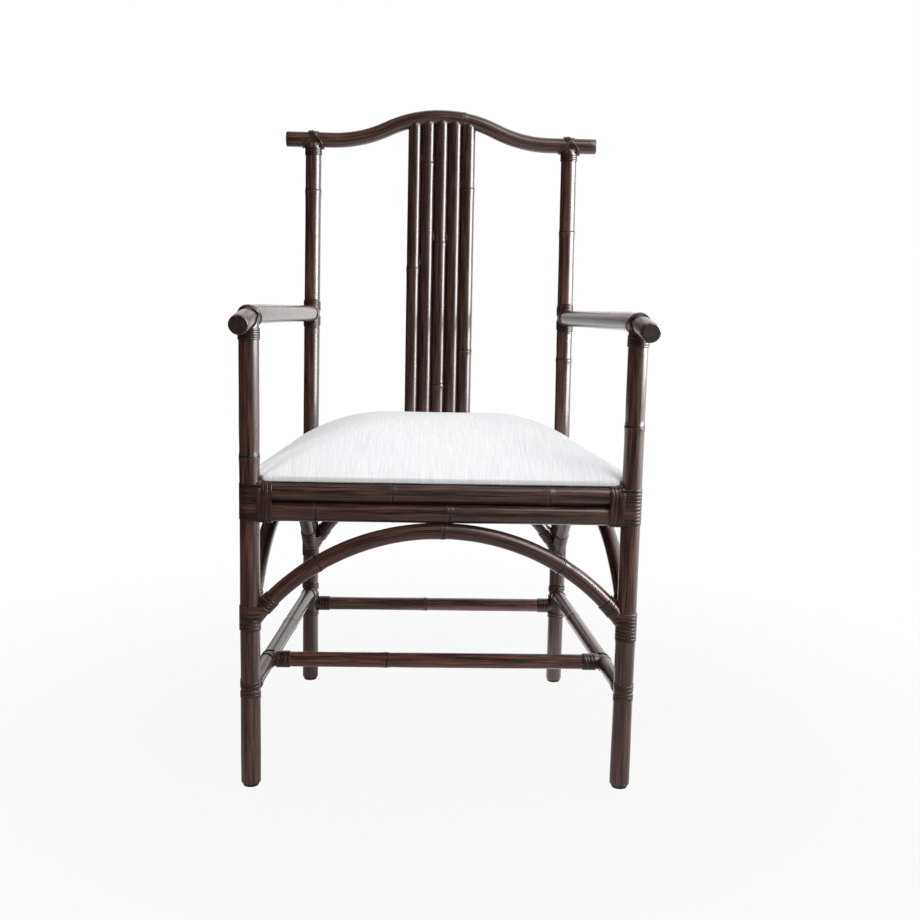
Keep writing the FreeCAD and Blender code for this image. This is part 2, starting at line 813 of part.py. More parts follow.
def arc_on(start, tangent, end):
    """Arc that leaves a point along a tangent and ends at another point."""
    chord = end - start
    across = Vector(chord).normalize()
    lean = tangent.getAngle(across)
    side = (tangent - across * tangent.dot(across)).normalize()
    middle = start + chord / 2 + side * (chord.Length / 2 * math.tan(lean / 2))
    return Part.Arc(start, middle, end).toShape()


def biarc(start, start_tangent, end, end_tangent):
    """Two arcs that join two points and share a tangent where they meet."""
    span = end - start
    both = start_tangent + end_tangent
    bend = 2 * (1 - start_tangent.dot(end_tangent))
    reach = (math.sqrt(span.dot(both) ** 2 + bend * span.dot(span)) - span.dot(both)) / bend
    meeting = (start + start_tangent * reach + end - end_tangent * reach) / 2
    second = arc_on(end, -end_tangent, meeting)
    return [arc_on(start, start_tangent, meeting), second]


def cane_path(radius, spread, turns):
    """Edges of a winding up +Z, round one centre or two centres a spread apart along Y."""
    round_trip = 2 * math.pi * radius + 2 * spread
    climb = sheet.cane_pitch / round_trip
    point = Vector(radius, -spread / 2, 0)
    way = Vector(0, 1, climb).normalize()
    lead = way * sheet.cane_diameter
    edges = [Part.LineSegment(point - lead, point).toShape()]
    for half_turn in range(int(2 * turns)):
        if spread:
            after = point + Vector(0, way.y / abs(way.y), climb) * spread
            edges.append(Part.LineSegment(point, after).toShape())
            point = after
        after = Vector(-point.x, point.y, point.z + climb * math.pi * radius)
        turned = Vector(0, -way.y, way.z)
        edges += biarc(point, way, after, turned)
        point, way = after, turned
    edges.append(Part.LineSegment(point, point + way * sheet.cane_diameter).toShape())
    return edges


def least_self_gap(wire, round_trip):
    """Smallest gap between a winding's neighbouring turns, measured on points."""
    step = sheet.cane_diameter / 2
    points = wire.discretize(Number=int(wire.Length / step) + 1)
    spacing = wire.Length / (len(points) - 1)
    apart = int(round_trip / 2 / spacing)
    least = min(
        (points[j] - points[i]).Length
        for i in range(len(points))
        for j in range(i + apart, len(points))
    )
    return least - sheet.cane_diameter


def cane_shape(pole_diameter, spread, turns):
    """Tube of a winding on poles of one diameter, made once for each kind."""
    kind = (pole_diameter, spread, turns)
    if kind not in cane_shapes:
        radius = pole_diameter / 2 + sheet.cane_gap + sheet.cane_diameter / 2
        wire = Part.Wire(Part.__sortEdges__(cane_path(radius, spread, turns)))
        first = wire.OrderedEdges[0]
        way = first.tangentAt(first.FirstParameter)
        start = wire.OrderedVertexes[0].Point
        section = Part.Wire(Part.Circle(start, way, sheet.cane_diameter / 2).toShape())
        tube = Part.BRepOffsetAPI.MakePipeShell(wire)
        tube.add(section)
        tube.build()
        tube.makeSolid()
        cane_shapes[kind] = tube.shape()
        gap = least_self_gap(wire, 2 * math.pi * radius + 2 * spread)
        expected = wire.Length * math.pi * sheet.cane_diameter**2 / 4
        print(
            f"winding on {pole_diameter:.1f} mm, spread {spread:.1f} mm, {turns} turns:"
            f" gap to itself {gap:.2f} mm, volume share {tube.shape().Volume / expected:.4f}"
        )
    return cane_shapes[kind]


bindings = defaultdict(list)


def bind(binding, where, diameter, turns, spread=0.0):
    """Wind cane along +Z of a place."""
    winding = doc.addObject("Part::Feature", f"{binding}_{len(bindings[binding]) + 1}")
    winding.Shape = cane_shape(sheet.get(diameter), spread, sheet.get(turns))
    winding.setExpression("Placement", where)
    bindings[binding].append(winding)


def wound_length(turns):
    """Formula of the length of pole that a winding takes up."""
    return f"(sizes.{turns} * sizes.cane_pitch + sizes.cane_diameter / 2)"


def bind_rails(binding, run, at_start, row):
    """Wind both rails of a run together, beside the leg at one end."""
    stretch = poles[f"{run}_rail_upper"].stretches[0]
    inset = f"({half(LEG_DIAMETERS[row])} + sizes.cane_corner_margin)"
    distance = inset if at_start else f"{stretch.length} - {inset} - {wound_length('rail_turns')}"
    middle = f"{place(('0', '0', '-sizes.rail_pitch / 2'))} * {along(stretch, distance)}"
    upright = place(yaw="90")
    bind(binding, f"{middle} * {upright}", "rail_diameter", "rail_turns", sheet.rail_pitch)


def arch_binding_inset(run, row):
    """Formula of how far from a leg's axis the slanting end of an arch has room for cane."""
    wound_radius = f"({half('arch_diameter')} + sizes.cane_gap + sizes.cane_diameter)"
    return f"layout.{run}_arch_{row}_inset + {wound_radius} * tan(layout.{run}_arch_{row}_angle)"


def bind_start(binding, stretch, inset, diameter, turns):
    """Wind a pole just past what it starts in."""
    bind(binding, along(stretch, f"{inset} + sizes.cane_margin"), diameter, turns)


def bind_before(binding, stretch, distance, inset, diameter, turns):
    """Wind a pole just before a place on it."""
    start = f"{distance} - ({inset}) - sizes.cane_margin - {wound_length(turns)}"
    bind(binding, along(stretch, start), diameter, turns)


def bind_end(binding, stretch, inset, diameter, turns):
    """Wind a pole just before what it ends in."""
    bind_before(binding, stretch, length_of(stretch), inset, diameter, turns)


for side, sign in SIDES.items():
    post = poles[f"rear_leg_{side}"].stretches[2]
    arm_straight, arm_bend = poles[f"arm_{side}"].stretches
    leg = poles[f"front_leg_{side}"].stretches[0]
    crest = poles["crest_rail"].stretches[0 if sign > 0 else 1]
    post_on_crest = "(layout.rear_x - sizes.crest_run)"

    name = f"crest_binding_{side}"
    bind_end(name, post, half("crest_diameter"), "rear_leg_diameter", "post_turns")
    bind_start(name, crest, f"{post_on_crest} + {half('rear_leg_diameter')}", "crest_diameter", "crest_turns")
    bind_before(name, crest, post_on_crest, half("rear_leg_diameter"), "crest_diameter", "crest_turns")

    name = f"arm_rear_binding_{side}"
    bind_start(name, arm_straight, half("rear_leg_diameter"), "arm_diameter", "arm_turns")
    arm_on_post = "(sizes.arm_rear_height - sizes.post_bend_height) / cos(sizes.back_rake)"
    post_start = "sizes.post_bend_radius * tan(sizes.back_rake / 2)"
    above_arm = f"{arm_on_post} - {post_start} + {half('arm_diameter')} + sizes.cane_margin"
    bind(name, along(post, above_arm), "rear_leg_diameter", "arm_turns")

    name = f"arm_front_binding_{side}"
    leg_on_bend = "(sizes.arm_bend_radius * (layout.arm_tip_slope - layout.arm_leg_slope) * pi / 180)"
    bind_start(name, arm_bend, f"{leg_on_bend} + {half('front_leg_diameter')}", "arm_diameter", "arm_turns")
    bind_before(name, arm_bend, leg_on_bend, half("front_leg_diameter"), "arm_diameter", "arm_turns")
    bind_end(name, leg, half("arm_diameter"), "front_leg_diameter", "leg_turns")

    name = f"seat_front_binding_{side}"
    bind_rails(name, "front", sign < 0, "front")
    bind_rails(name, side, True, "front")

    name = f"seat_rear_binding_{side}"
    bind_rails(name, "rear", sign < 0, "rear")
    bind_rails(name, side, False, "rear")

    for row in LEG_DIAMETERS:
        name = f"arch_{row}_binding_{side}"
        across = poles[f"{row}_arch"].stretches[0]
        inset = arch_binding_inset(row, row)
        if sign > 0:
            bind_start(name, across, inset, "arch_diameter", "arch_turns")
        else:
            bind_end(name, across, inset, "arch_diameter", "arch_turns")
        along_side = poles[f"{side}_arch"].stretches[0]
        inset = arch_binding_inset(side, row)
        if row == "rear":
            bind_start(name, along_side, inset, "arch_diameter", "arch_turns")
        else:
            bind_end(name, along_side, inset, "arch_diameter", "arch_turns")

    name = f"stretcher_front_binding_{side}"
    stretcher = poles[f"{side}_stretcher"].stretches[0]
    bind_start(name, stretcher, half("front_leg_diameter"), "stretcher_diameter", "stretcher_turns")
    above_stretcher = (
        f"sizes.side_stretcher_front_height - sizes.glide_height + {half('stretcher_diameter')}"
        " + sizes.cane_corner_margin"
    )
    bind(name, along(leg, above_stretcher), "front_leg_diameter", "leg_turns")

    name = f"stretcher_rear_binding_{side}"
    bind_end(name, stretcher, half("rear_leg_diameter"), "stretcher_diameter", "stretcher_turns")
    back = poles["rear_stretcher"].stretches[0]
    if sign < 0:
        bind_start(name, back, half("rear_leg_diameter"), "stretcher_diameter", "stretcher_turns")
    else:
        bind_end(name, back, half("rear_leg_diameter"), "stretcher_diameter", "stretcher_turns")

    name = f"cross_stretcher_binding_{side}"
    cross = poles["cross_stretcher"].stretches[0]
    if sign < 0:
        bind_start(name, cross, half("stretcher_diameter"), "stretcher_diameter", "stretcher_turns")
    else:
        bind_end(name, cross, half("stretcher_diameter"), "stretcher_diameter", "stretcher_turns")

for name, windings in bindings.items():
    nodes[name] = group(name, windings)

doc.recompute()

# Nothing is written unless every object and every solid is sound
faults = []
for thing in doc.Objects:
    if "Invalid" in thing.State or "Error" in thing.State:
        faults.append(f"{thing.Name} failed")
for name, node in nodes.items():
    if node.Shape.isNull() or not node.Shape.isValid() or not node.Shape.Solids:
        faults.append(f"{name} has no sound solid")
if faults:
    raise RuntimeError("; ".join(faults))

os.makedirs("parts", exist_ok=True)
for name, node in nodes.items():
    node.Shape.exportStep(f"parts/{name}.step")
print(len(nodes), "nodes,", sum(len(node.Shape.Solids) for node in nodes.values()), "solids")
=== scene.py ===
import math
from collections import namedtuple
from functools import reduce

import bmesh
import bpy
from mathutils import Matrix, Vector
from mathutils.geometry import convex_hull_2d
from mathutils.kdtree import KDTree


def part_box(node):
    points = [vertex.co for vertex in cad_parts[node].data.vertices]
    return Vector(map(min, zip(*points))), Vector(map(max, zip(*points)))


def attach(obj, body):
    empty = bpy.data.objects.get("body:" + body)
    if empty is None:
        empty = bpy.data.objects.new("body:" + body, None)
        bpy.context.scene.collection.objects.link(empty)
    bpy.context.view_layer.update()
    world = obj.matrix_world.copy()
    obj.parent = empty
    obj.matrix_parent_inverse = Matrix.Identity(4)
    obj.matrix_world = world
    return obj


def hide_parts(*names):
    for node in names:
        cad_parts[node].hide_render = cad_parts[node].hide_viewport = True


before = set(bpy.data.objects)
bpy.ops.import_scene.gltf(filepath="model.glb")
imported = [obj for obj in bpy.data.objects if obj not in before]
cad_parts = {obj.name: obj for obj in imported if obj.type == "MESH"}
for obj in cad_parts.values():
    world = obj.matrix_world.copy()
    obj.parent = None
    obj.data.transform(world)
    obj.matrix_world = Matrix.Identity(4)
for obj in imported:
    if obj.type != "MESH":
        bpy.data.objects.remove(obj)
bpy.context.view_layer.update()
scene = bpy.context.scene

# Directions and sides
UP = Vector((0, 0, 1))
RIGHT = Vector((1, 0, 0))
BACK = Vector((0, 1, 0))
SIDES = {"left": -1, "right": 1}

# Pole radii, in metres
LEG_RADII = {"front": 0.0135, "rear": 0.0130}
ARM_RADIUS = 0.0130
CREST_RADIUS = 0.0125
RAIL_RADIUS = 0.0133
ARCH_RADIUS = 0.0111
STRETCHER_RADIUS = 0.0110
BACK_POLE_RADIUS = 0.0112

# Bends of the poles
POST_BEND_RADIUS = 0.900
CREST_RUN = 0.180
ARM_REAR_HEIGHT = 0.633
ARM_SLOPE = math.radians(1.7)
ARM_BEND_START = 0.060
ARM_BEND_RADIUS = 0.500
ARM_BEND_ANGLE = math.radians(13.7)
ARCH_FOOT_HEIGHT = 0.230
BACK_POLES = 5

# How a pole is drawn along its length
PATH_STEP = 0.010
POLE_SIDES = 32
END_INSETS = (0.0004, 0.0009, 0.0015)
MILLIMETRE = 0.001
RING_OFFSETS_MM = (-9, -6.5, -4.5, -3, -2, -1.2, -0.7, -0.3, 0, 0.3, 0.7, 1.2, 2, 3, 4.5, 6.5, 9)
LEAST_STEP = 0.00015
BUTT_DEPTH = 0.006
POLE_WANDER = 0.0011
STRAIGHT_WANDER = 0.0003
WANDER_SCALE = 9.0
RING_FORM = {
    "Ring Swell": 0.0006,
    "Ring Width": 0.0050,
    "Ring Step": -0.0003,
    "Groove Depth": 0.0002,
    "Groove Width": 0.0018,
}
RING_FADE = 3.0
EDGE_BREAK = 0.0015
FAR_FROM_RINGS = 1.0
SEED_STEP = 1.7

# How light a pole is beside the others; on the cross and rear stretchers this is painted light, a
# lightening that stands in for the reflection in their lacquer
BACK_POLE_TONE = 0.62
POLE_TONES_AND_PAINTED_LIGHT = {"cross_stretcher": 1.8, "rear_stretcher": 1.9, "front_arch": 0.85, "crest_rail": 0.9}
POLE_TONES_AND_PAINTED_LIGHT |= {"front_rail_upper": 0.82, "front_rail_lower": 0.9}
POLE_TONES_AND_PAINTED_LIGHT |= {f"back_pole_{number}": BACK_POLE_TONE for number in range(1, BACK_POLES + 1)}

# Growth rings: height on upright poles, otherwise the place along the pole's longest direction
RINGS = {
    "front_leg_left": (0.460,),
    "front_leg_right": (0.508, 0.215),
    "rear_leg_left": (0.836,),
    "rear_leg_right": (0.777, 0.564),
    "crest_rail": (0.036,),
    "front_rail_upper": (-0.065, 0.145),
    "front_rail_lower": (-0.168, 0.011),
    "rear_rail_upper": (0.090,),
    "rear_rail_lower": (-0.050,),
    "left_rail_upper": (0.040,),
    "left_rail_lower": (-0.070,),
    "right_rail_upper": (0.010,),
    "right_rail_lower": (0.090,),
    "front_arch": (-0.164, 0.004, 0.165),
    "rear_arch": (-0.040,),
    "left_arch": (0.060,),
    "right_arch": (-0.030,),
    "left_stretcher": (0.050,),
    "right_stretcher": (0.090,),
    "cross_stretcher": (-0.0725,),
    "rear_stretcher": (-0.0135,),
    "back_pole_1": (0.712,),
    "back_pole_2": (0.885,),
    "back_pole_3": (0.754, 0.518),
    "back_pole_5": (0.844, 0.577),
}

# Cane strip
STRIP_WIDTH = 0.0048
STRIP_THICKNESS = 0.0016
STRIP_EDGE_RADIUS = 0.00045
STRIP_GAP = 0.0001
STRIP_PITCH = STRIP_WIDTH + STRIP_GAP
FINE_STRIP_WIDTH = 0.0030
FINE_EDGE_RADIUS = 0.0007
FINE_PITCH = FINE_STRIP_WIDTH + STRIP_GAP
BUNCHED_PITCH = 0.0016
BUNCHED_LIFT = 0.0004
CROSSING_EASE = 0.65
SUNK_LAYER = STRIP_THICKNESS * -0.1
FIRST_LAYER = STRIP_THICKNESS * 0.3
SECOND_LAYER = STRIP_THICKNESS * 1.05
LOOP_STEPS = 40
CANE_UNEVEN = 0.08
CANE_SEED = 11
EDGE_POINTS = 3
STRIP_SHIFT = 0.37

# How many strips a joint has, and how far from the joint they start
CREST_BANDS, CREST_BAND_REACH, CREST_BAND_CLEAR = 3, 0.008, 0.0005
CREST_RINGS, CREST_RING_START = 4, 0.0025
ARM_BANDS, ARM_BAND_REACH, ARM_BAND_CLEAR = 3, 0.009, 0.001
ARM_LOOPS, ARM_LOOP_CLEAR = 4, 0.0005
ARM_REAR_RINGS, ARM_FRONT_RINGS, ARM_RING_START = 3, 5, 0.003
SEAT_PAIRS, SEAT_TURNS, SEAT_TURN_REACH = 4, 10, 0.004
ARCH_RINGS, ARCH_RING_START, TANGENT_STEP = 4, 0.030, 0.002
ARCH_TURNS = {"left": (5, 2), "right": (4, 4)}
ARCH_TURN_START, BELOW_ARCH_START = 0.004, 0.001
STRETCHER_LOOPS, FRONT_LOOP_SINK, REAR_LOOP_SINK = 2, 0.004, 0.002
STRETCHER_RINGS, STRETCHER_RING_START = 2, 0.005
CROSS_RINGS, CROSS_RING_START, CROSS_LOOPS = 4, 0.003, 1
LEG_RINGS, LEG_RING_START = 2, 0.002


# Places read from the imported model
def leg_foot(side, row):
    """Foot of a leg's straight axis."""
    low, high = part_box(f"{row}_leg_{side}")
    return Vector(((low.x + high.x) / 2, low.y + LEG_RADII[row], low.z))


def middle(node):
    """Middle of a node's box."""
    low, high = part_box(node)
    return (low + high) / 2


legs = {(side, row): leg_foot(side, row) for side in SIDES for row in LEG_RADII}
crest_low, crest_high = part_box("crest_rail")
crest_base = Vector((0, crest_low.y + CREST_RADIUS, crest_low.z + CREST_RADIUS))
crest_lift = Vector((0, crest_high.y - CREST_RADIUS, crest_high.z - CREST_RADIUS)) - crest_base
crest_rise = crest_lift.length
lean = crest_lift.normalized()
crest_turn = 2 * math.atan(crest_rise / CREST_RUN)
crest_bend = CREST_RUN / math.sin(crest_turn) / 2
upper_rail = middle("front_rail_upper").z
lower_rail = middle("front_rail_lower").z
rail_pitch = upper_rail - lower_rail
arch_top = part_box("front_arch")[1].z - ARCH_RADIUS


def leg_axis(side, row, height):
    """Point on a leg's axis below its bend."""
    foot = legs[side, row]
    return Vector((foot.x, foot.y, height))


def post_axis(side, height):
    """Point on a rear post's leaning axis."""
    crest_end = crest_base + RIGHT * legs[side, "rear"].x
    return crest_end + lean * ((height - crest_end.z) / lean.z)


# Centre lines of the poles
def arc(centre, across, upward, radius, start, end):
    """Points on an arc, turned from the direction across towards upward."""
    count = max(2, math.ceil(abs(end - start) * radius / PATH_STEP))
    angles = [start + (end - start) * step / count for step in range(count + 1)]
    return [centre + radius * (math.cos(a) * across + math.sin(a) * upward) for a in angles]


def crest_path():
    """Straight ends, a rise at each side and a round hump in the middle."""
    quarter = math.pi / 2
    low_bend = crest_base + lean * crest_bend
    hump = crest_base + lean * (crest_rise - crest_bend)
    run = RIGHT * CREST_RUN
    end = RIGHT * crest_high.x
    return (
        [crest_base - end]
        + arc(low_bend - run, RIGHT, lean, crest_bend, -quarter, -quarter + crest_turn)
        + arc(hump, RIGHT, lean, crest_bend, quarter + crest_turn, quarter - crest_turn)
        + arc(low_bend + run, RIGHT, lean, crest_bend, -quarter - crest_turn, -quarter)
        + [crest_base + end]
    )


def crest_point(x):
    """Point on the hump of the crest."""
    return crest_base + RIGHT * x + lean * (crest_rise - crest_bend + math.sqrt(crest_bend**2 - x**2))


def rear_leg_path(side):
    """Upright to the seat, then a long bend to the leaning post."""
    foot = legs[side, "rear"]
    rake = math.atan2(lean.y, lean.z)
    bend_height = crest_base.z - (crest_base.y - foot.y) / math.tan(rake)
    bend_base = bend_height - POST_BEND_RADIUS * math.tan(rake / 2)
    centre = Vector((foot.x, foot.y + POST_BEND_RADIUS, bend_base))
    bend = arc(centre, -BACK, UP, POST_BEND_RADIUS, 0, rake)
    return [foot] + bend + [crest_base + RIGHT * foot.x]


def arm_frame(side):
    """Rear end of an arm, its level direction and its run to the front leg."""
    rear = post_axis(side, ARM_REAR_HEIGHT)
    front = leg_axis(side, "front", ARM_REAR_HEIGHT)
    return rear, (front - rear).normalized(), (front - rear).length


def arm_path(side):
    """A rising straight, then a bend that droops past the front leg."""
    rear, ahead, run = arm_frame(side)
    bend_start = run - ARM_BEND_START
    bend_foot = rear + ahead * bend_start + UP * bend_start * math.tan(ARM_SLOPE)
    normal = UP * math.cos(ARM_SLOPE) - ahead * math.sin(ARM_SLOPE)
    centre = bend_foot - normal * ARM_BEND_RADIUS
    start = math.pi / 2 + ARM_SLOPE
    return [rear] + arc(centre, ahead, UP, ARM_BEND_RADIUS, start, start - ARM_BEND_ANGLE)


def arch_path(start, end):
    """One arc from leg to leg, as high as the lower rails let it."""
    half = (end - start).length / 2
    rise = arch_top - start.z
    radius = (half**2 + rise**2) / (2 * rise)
    turn = math.atan2(half, radius - rise)
    centre = (start + end) / 2 + UP * (rise - radius)
    across = (end - start).normalized()
    return arc(centre, across, UP, radius, math.pi / 2 + turn, math.pi / 2 - turn)


def side_stretcher_path(side):
    """A side stretcher climbs a little towards the rear leg."""
    low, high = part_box(f"{side}_stretcher")
    return [
        leg_axis(side, "front", low.z + STRETCHER_RADIUS),
        leg_axis(side, "rear", high.z - STRETCHER_RADIUS),
    ]


def cross_stretcher_path():
    """Straight between the two side stretchers."""
    place = middle("cross_stretcher")
    ends = []
    for side in SIDES:
        front, rear = side_stretcher_path(side)
        ends.append(front.lerp(rear, (place.y - front.y) / (rear.y - front.y)))
    return ends


def lengths_along(points):
    """Distance of each point from the first, along the path."""
    lengths = [0.0]
    for before, after in zip(points, points[1:]):
        lengths.append(lengths[-1] + (after - before).length)
    return lengths


def walk(points, distance):
    """Point at a distance along a path."""
    lengths = lengths_along(points)
    for before, after, start, end in zip(points, points[1:], lengths, lengths[1:]):
        if distance <= end:
            return before.lerp(after, (distance - start) / (end - start))
    return points[-1].copy()


def trimmed(points, start, end):
    """A path without a length of each end."""
    lengths = lengths_along(points)
    last = lengths[-1] - end
    inner = [point for point, length in zip(points, lengths) if start < length < last]
    return [walk(points, start)] + inner + [walk(points, last)]


def ring_stations(name, points):
    """Distances along a pole's path of its growth rings."""
    reach = points[-1] - points[0]
    axis = max(range(3), key=lambda i: abs(reach[i]))
    lengths = lengths_along(points)
    stations = []
    for place in RINGS.get(name, ()):
        for before, after, start in zip(points, points[1:], lengths):
            share = (place - before[axis]) / (after[axis] - before[axis])
            if 0 <= share < 1:
                stations.append(start + share * (after - before).length)
    return stations


# Node trees
def add(tree, kind, inputs=None, **settings):
    """Add a node, with its settings, and its inputs set or linked."""
    node = tree.nodes.new(kind)
    for key, value in settings.items():
        setattr(node, key, value)
    for key, value in (inputs or {}).items():
        if isinstance(value, bpy.types.NodeSocket):
            tree.links.new(value, node.inputs[key])
        else:
            node.inputs[key].default_value = value
    return node


def maths(tree, operation, first, second=0.0, third=0.0):
    """Output of a Math node."""
    inputs = {0: first, 1: second, 2: third}
    return add(tree, "ShaderNodeMath", inputs, operation=operation).outputs[0]


def product(tree, *values):
    """Values multiplied."""
    return reduce(lambda first, second: maths(tree, "MULTIPLY", first, second), values)


def total(tree, *values):
    """Values added."""
    return reduce(lambda first, second: maths(tree, "ADD", first, second), values)


def bell(tree, value, width):
    """Bell curve of a value."""
    share = maths(tree, "DIVIDE", value, width)
    return maths(tree, "EXPONENT", product(tree, share, share, -1.0))


def new_tree(name, **inputs):
    """Geometry Nodes tree with inputs named by kind, and its input and output sockets."""
    tree = bpy.data.node_groups.new(name, "GeometryNodeTree")
    for kind, labels in {"Geometry": ("Path",), **inputs}.items():
        for label in labels:
            tree.interface.new_socket(label, in_out="INPUT", socket_type=f"NodeSocket{kind}")
    tree.interface.new_socket("Piece", in_out="OUTPUT", socket_type="NodeSocketGeometry")
    return tree, add(tree, "NodeGroupInput").outputs, add(tree, "NodeGroupOutput").inputs


def capture(tree, geometry, label, kind, value):
    """Keep a field on a geometry: the geometry and the kept field."""
    node = add(tree, "GeometryNodeCaptureAttribute")
    node.capture_items.new(kind, label)
    tree.links.new(geometry, node.inputs["Geometry"])
    tree.links.new(value, node.inputs[label])
    return node.outputs["Geometry"], node.outputs[label]


def named(tree, label, kind="FLOAT"):
    """Attribute of the path, by name."""
    node = add(tree, "GeometryNodeInputNamedAttribute", {"Name": label}, data_type=kind)
    return node.outputs["Attribute"]


def store(tree, mesh, label, kind, value):
    """Keep a field on the points of a mesh, for its material."""
    inputs = {"Geometry": mesh, "Name": label, "Value": value}
    settings = {"data_type": kind, "domain": "POINT"}
    return add(tree, "GeometryNodeStoreNamedAttribute", inputs, **settings).outputs["Geometry"]


def chance(tree, low, high, strip, seed):
    """Random value of each strip."""
    inputs = {2: low, 3: high, "ID": strip, "Seed": seed}
    return add(tree, "FunctionNodeRandomValue", inputs, data_type="FLOAT").outputs[1]


def stock_path(tree, given):
    """Path of the stock as a curve, and the length along it."""
    path = add(tree, "GeometryNodeMeshToCurve", {"Mesh": given["Path"]}).outputs["Curve"]
    length = add(tree, "GeometryNodeSplineParameter").outputs["Length"]
    return capture(tree, path, "Along", "FLOAT", length)


def swept_stock(tree, path, profile, scale, along, tone):
    """Smooth stock swept along a path, with its tone and its place on the straightened stock."""
    position = add(tree, "GeometryNodeInputPosition").outputs["Position"]
    profile, around = capture(tree, profile, "Around", "VECTOR", position)
    sweep = {"Curve": path, "Profile Curve": profile, "Scale": scale, "Fill Caps": True}
    mesh = add(tree, "GeometryNodeCurveToMesh", sweep).outputs["Mesh"]
    across = add(tree, "ShaderNodeSeparateXYZ", {"Vector": around}).outputs
    place = {"X": across["X"], "Y": across["Y"], "Z": along}
    grain = add(tree, "ShaderNodeCombineXYZ", place).outputs["Vector"]
    mesh = store(tree, mesh, "grain", "FLOAT_VECTOR", grain)
    mesh = store(tree, mesh, "tone", "FLOAT", tone)
    smooth = {"Geometry": mesh, "Shade Smooth": True}
    return add(tree, "GeometryNodeSetShadeSmooth", smooth).outputs[0]


def with_material(tree, mesh, material, **selection):
    """A mesh with a material, on all its faces or on a selection."""
    inputs = {"Geometry": mesh, "Material": material} | selection
    return add(tree, "GeometryNodeSetMaterial", inputs).outputs[0]


def pole_tree():
    """A rattan pole along a path: swollen and grooved at its rings, with broken edges and sawn ends."""
    tree, given, result = new_tree(
        "rattan_pole",
        Float=("Radius", "Wander", "Edge Break", "Tone", "Seed", *RING_FORM),
        Int=("Sides",),
        Material=("Skin", "Sawn End"),
    )
    path, along = stock_path(tree, given)
    length = add(tree, "GeometryNodeSplineParameter").outputs["Length"]
    whole = add(tree, "GeometryNodeSplineLength").outputs["Length"]

    ring = named(tree, "ring")
    swell = product(tree, bell(tree, ring, given["Ring Width"]), given["Ring Swell"])
    groove = product(tree, bell(tree, ring, given["Groove Width"]), given["Groove Depth"], -1.0)
    shoulder = maths(tree, "TANH", maths(tree, "DIVIDE", ring, given["Groove Width"]))
    fading = bell(tree, ring, product(tree, given["Ring Width"], RING_FADE))
    step = product(tree, shoulder, fading, given["Ring Step"])
    swing = {"W": given["Seed"], "Scale": WANDER_SCALE}
    drift = add(tree, "ShaderNodeTexNoise", swing, noise_dimensions="4D").outputs["Fac"]
    wander = product(tree, maths(tree, "SUBTRACT", drift, 0.5), given["Wander"])
    to_end = maths(tree, "MINIMUM", length, maths(tree, "SUBTRACT", whole, length))
    past = maths(tree, "SUBTRACT", 1.0, maths(tree, "DIVIDE", to_end, given["Edge Break"]))
    broken = maths(tree, "POWER", maths(tree, "MAXIMUM", past, 0.0), 2.0)
    edge = product(tree, broken, given["Edge Break"], -1.0)
    change = total(tree, swell, step, wander, groove, edge)
    scale = total(tree, 1.0, maths(tree, "DIVIDE", change, given["Radius"]))

    stock = {"Resolution": given["Sides"], "Radius": given["Radius"]}
    profile = add(tree, "GeometryNodeCurvePrimitiveCircle", stock).outputs["Curve"]
    shifted = total(tree, along, given["Seed"])
    mesh = swept_stock(tree, path, profile, scale, shifted, given["Tone"])
    corners = add(tree, "GeometryNodeInputMeshFaceNeighbors").outputs["Vertex Count"]
    more = {"data_type": "INT", "operation": "GREATER_THAN"}
    sawn = add(tree, "FunctionNodeCompare", {2: corners, 3: 4}, **more).outputs[0]
    flat_ends = {"Geometry": mesh, "Selection": sawn, "Shade Smooth": False}
    mesh = add(tree, "GeometryNodeSetShadeSmooth", flat_ends).outputs[0]
    mesh = add(tree, "GeometryNodeRealizeInstances", {"Geometry": mesh}).outputs[0]
    mesh = with_material(tree, mesh, given["Skin"])
    mesh = with_material(tree, mesh, given["Sawn End"], Selection=sawn)
    tree.links.new(mesh, result["Piece"])
    return tree


def strip_tree():
    """Cane strip laid flat along each path, with eased edges."""
    tree, given, result = new_tree(
        "cane_strip",
        Float=("Width", "Thickness", "Edge Radius", "Uneven"),
        Int=("Seed",),
        Material=("Cane",),
    )
    path, along = stock_path(tree, given)
    facing = {"Curve": path, "Normal": named(tree, "outward", "FLOAT_VECTOR")}
    path = add(tree, "GeometryNodeSetCurveNormal", facing, mode="FREE").outputs[0]
    strip = named(tree, "strip", "INT")
    least = maths(tree, "SUBTRACT", 1.0, given["Uneven"])
    scale = chance(tree, least, 1.0, strip, given["Seed"])
    tone = chance(tree, 0.0, 1.0, strip, total(tree, given["Seed"], 1.0))
    slat = {"Width": given["Thickness"], "Height": given["Width"]}
    profile = add(tree, "GeometryNodeCurvePrimitiveQuadrilateral", slat).outputs["Curve"]
    eased = {"Curve": profile, "Radius": given["Edge Radius"], "Count": EDGE_POINTS}
    profile = add(tree, "GeometryNodeFilletCurve", eased, mode="POLY").outputs["Curve"]
    shifted = total(tree, along, product(tree, strip, STRIP_SHIFT))
    mesh = swept_stock(tree, path, profile, scale, shifted, tone)
    mesh = add(tree, "GeometryNodeRealizeInstances", {"Geometry": mesh}).outputs[0]
    tree.links.new(with_material(tree, mesh, given["Cane"]), result["Piece"])
    return tree


def taken_from(carrier, **options):
    """Plain mesh of what an object's modifiers make; the object and its own mesh go."""
    depsgraph = bpy.context.evaluated_depsgraph_get()
    evaluated = carrier.evaluated_get(depsgraph)
    result = bpy.data.meshes.new_from_object(evaluated, depsgraph=depsgraph, **options)
    mesh = carrier.data
    bpy.data.objects.remove(carrier)
    bpy.data.meshes.remove(mesh)
    return result


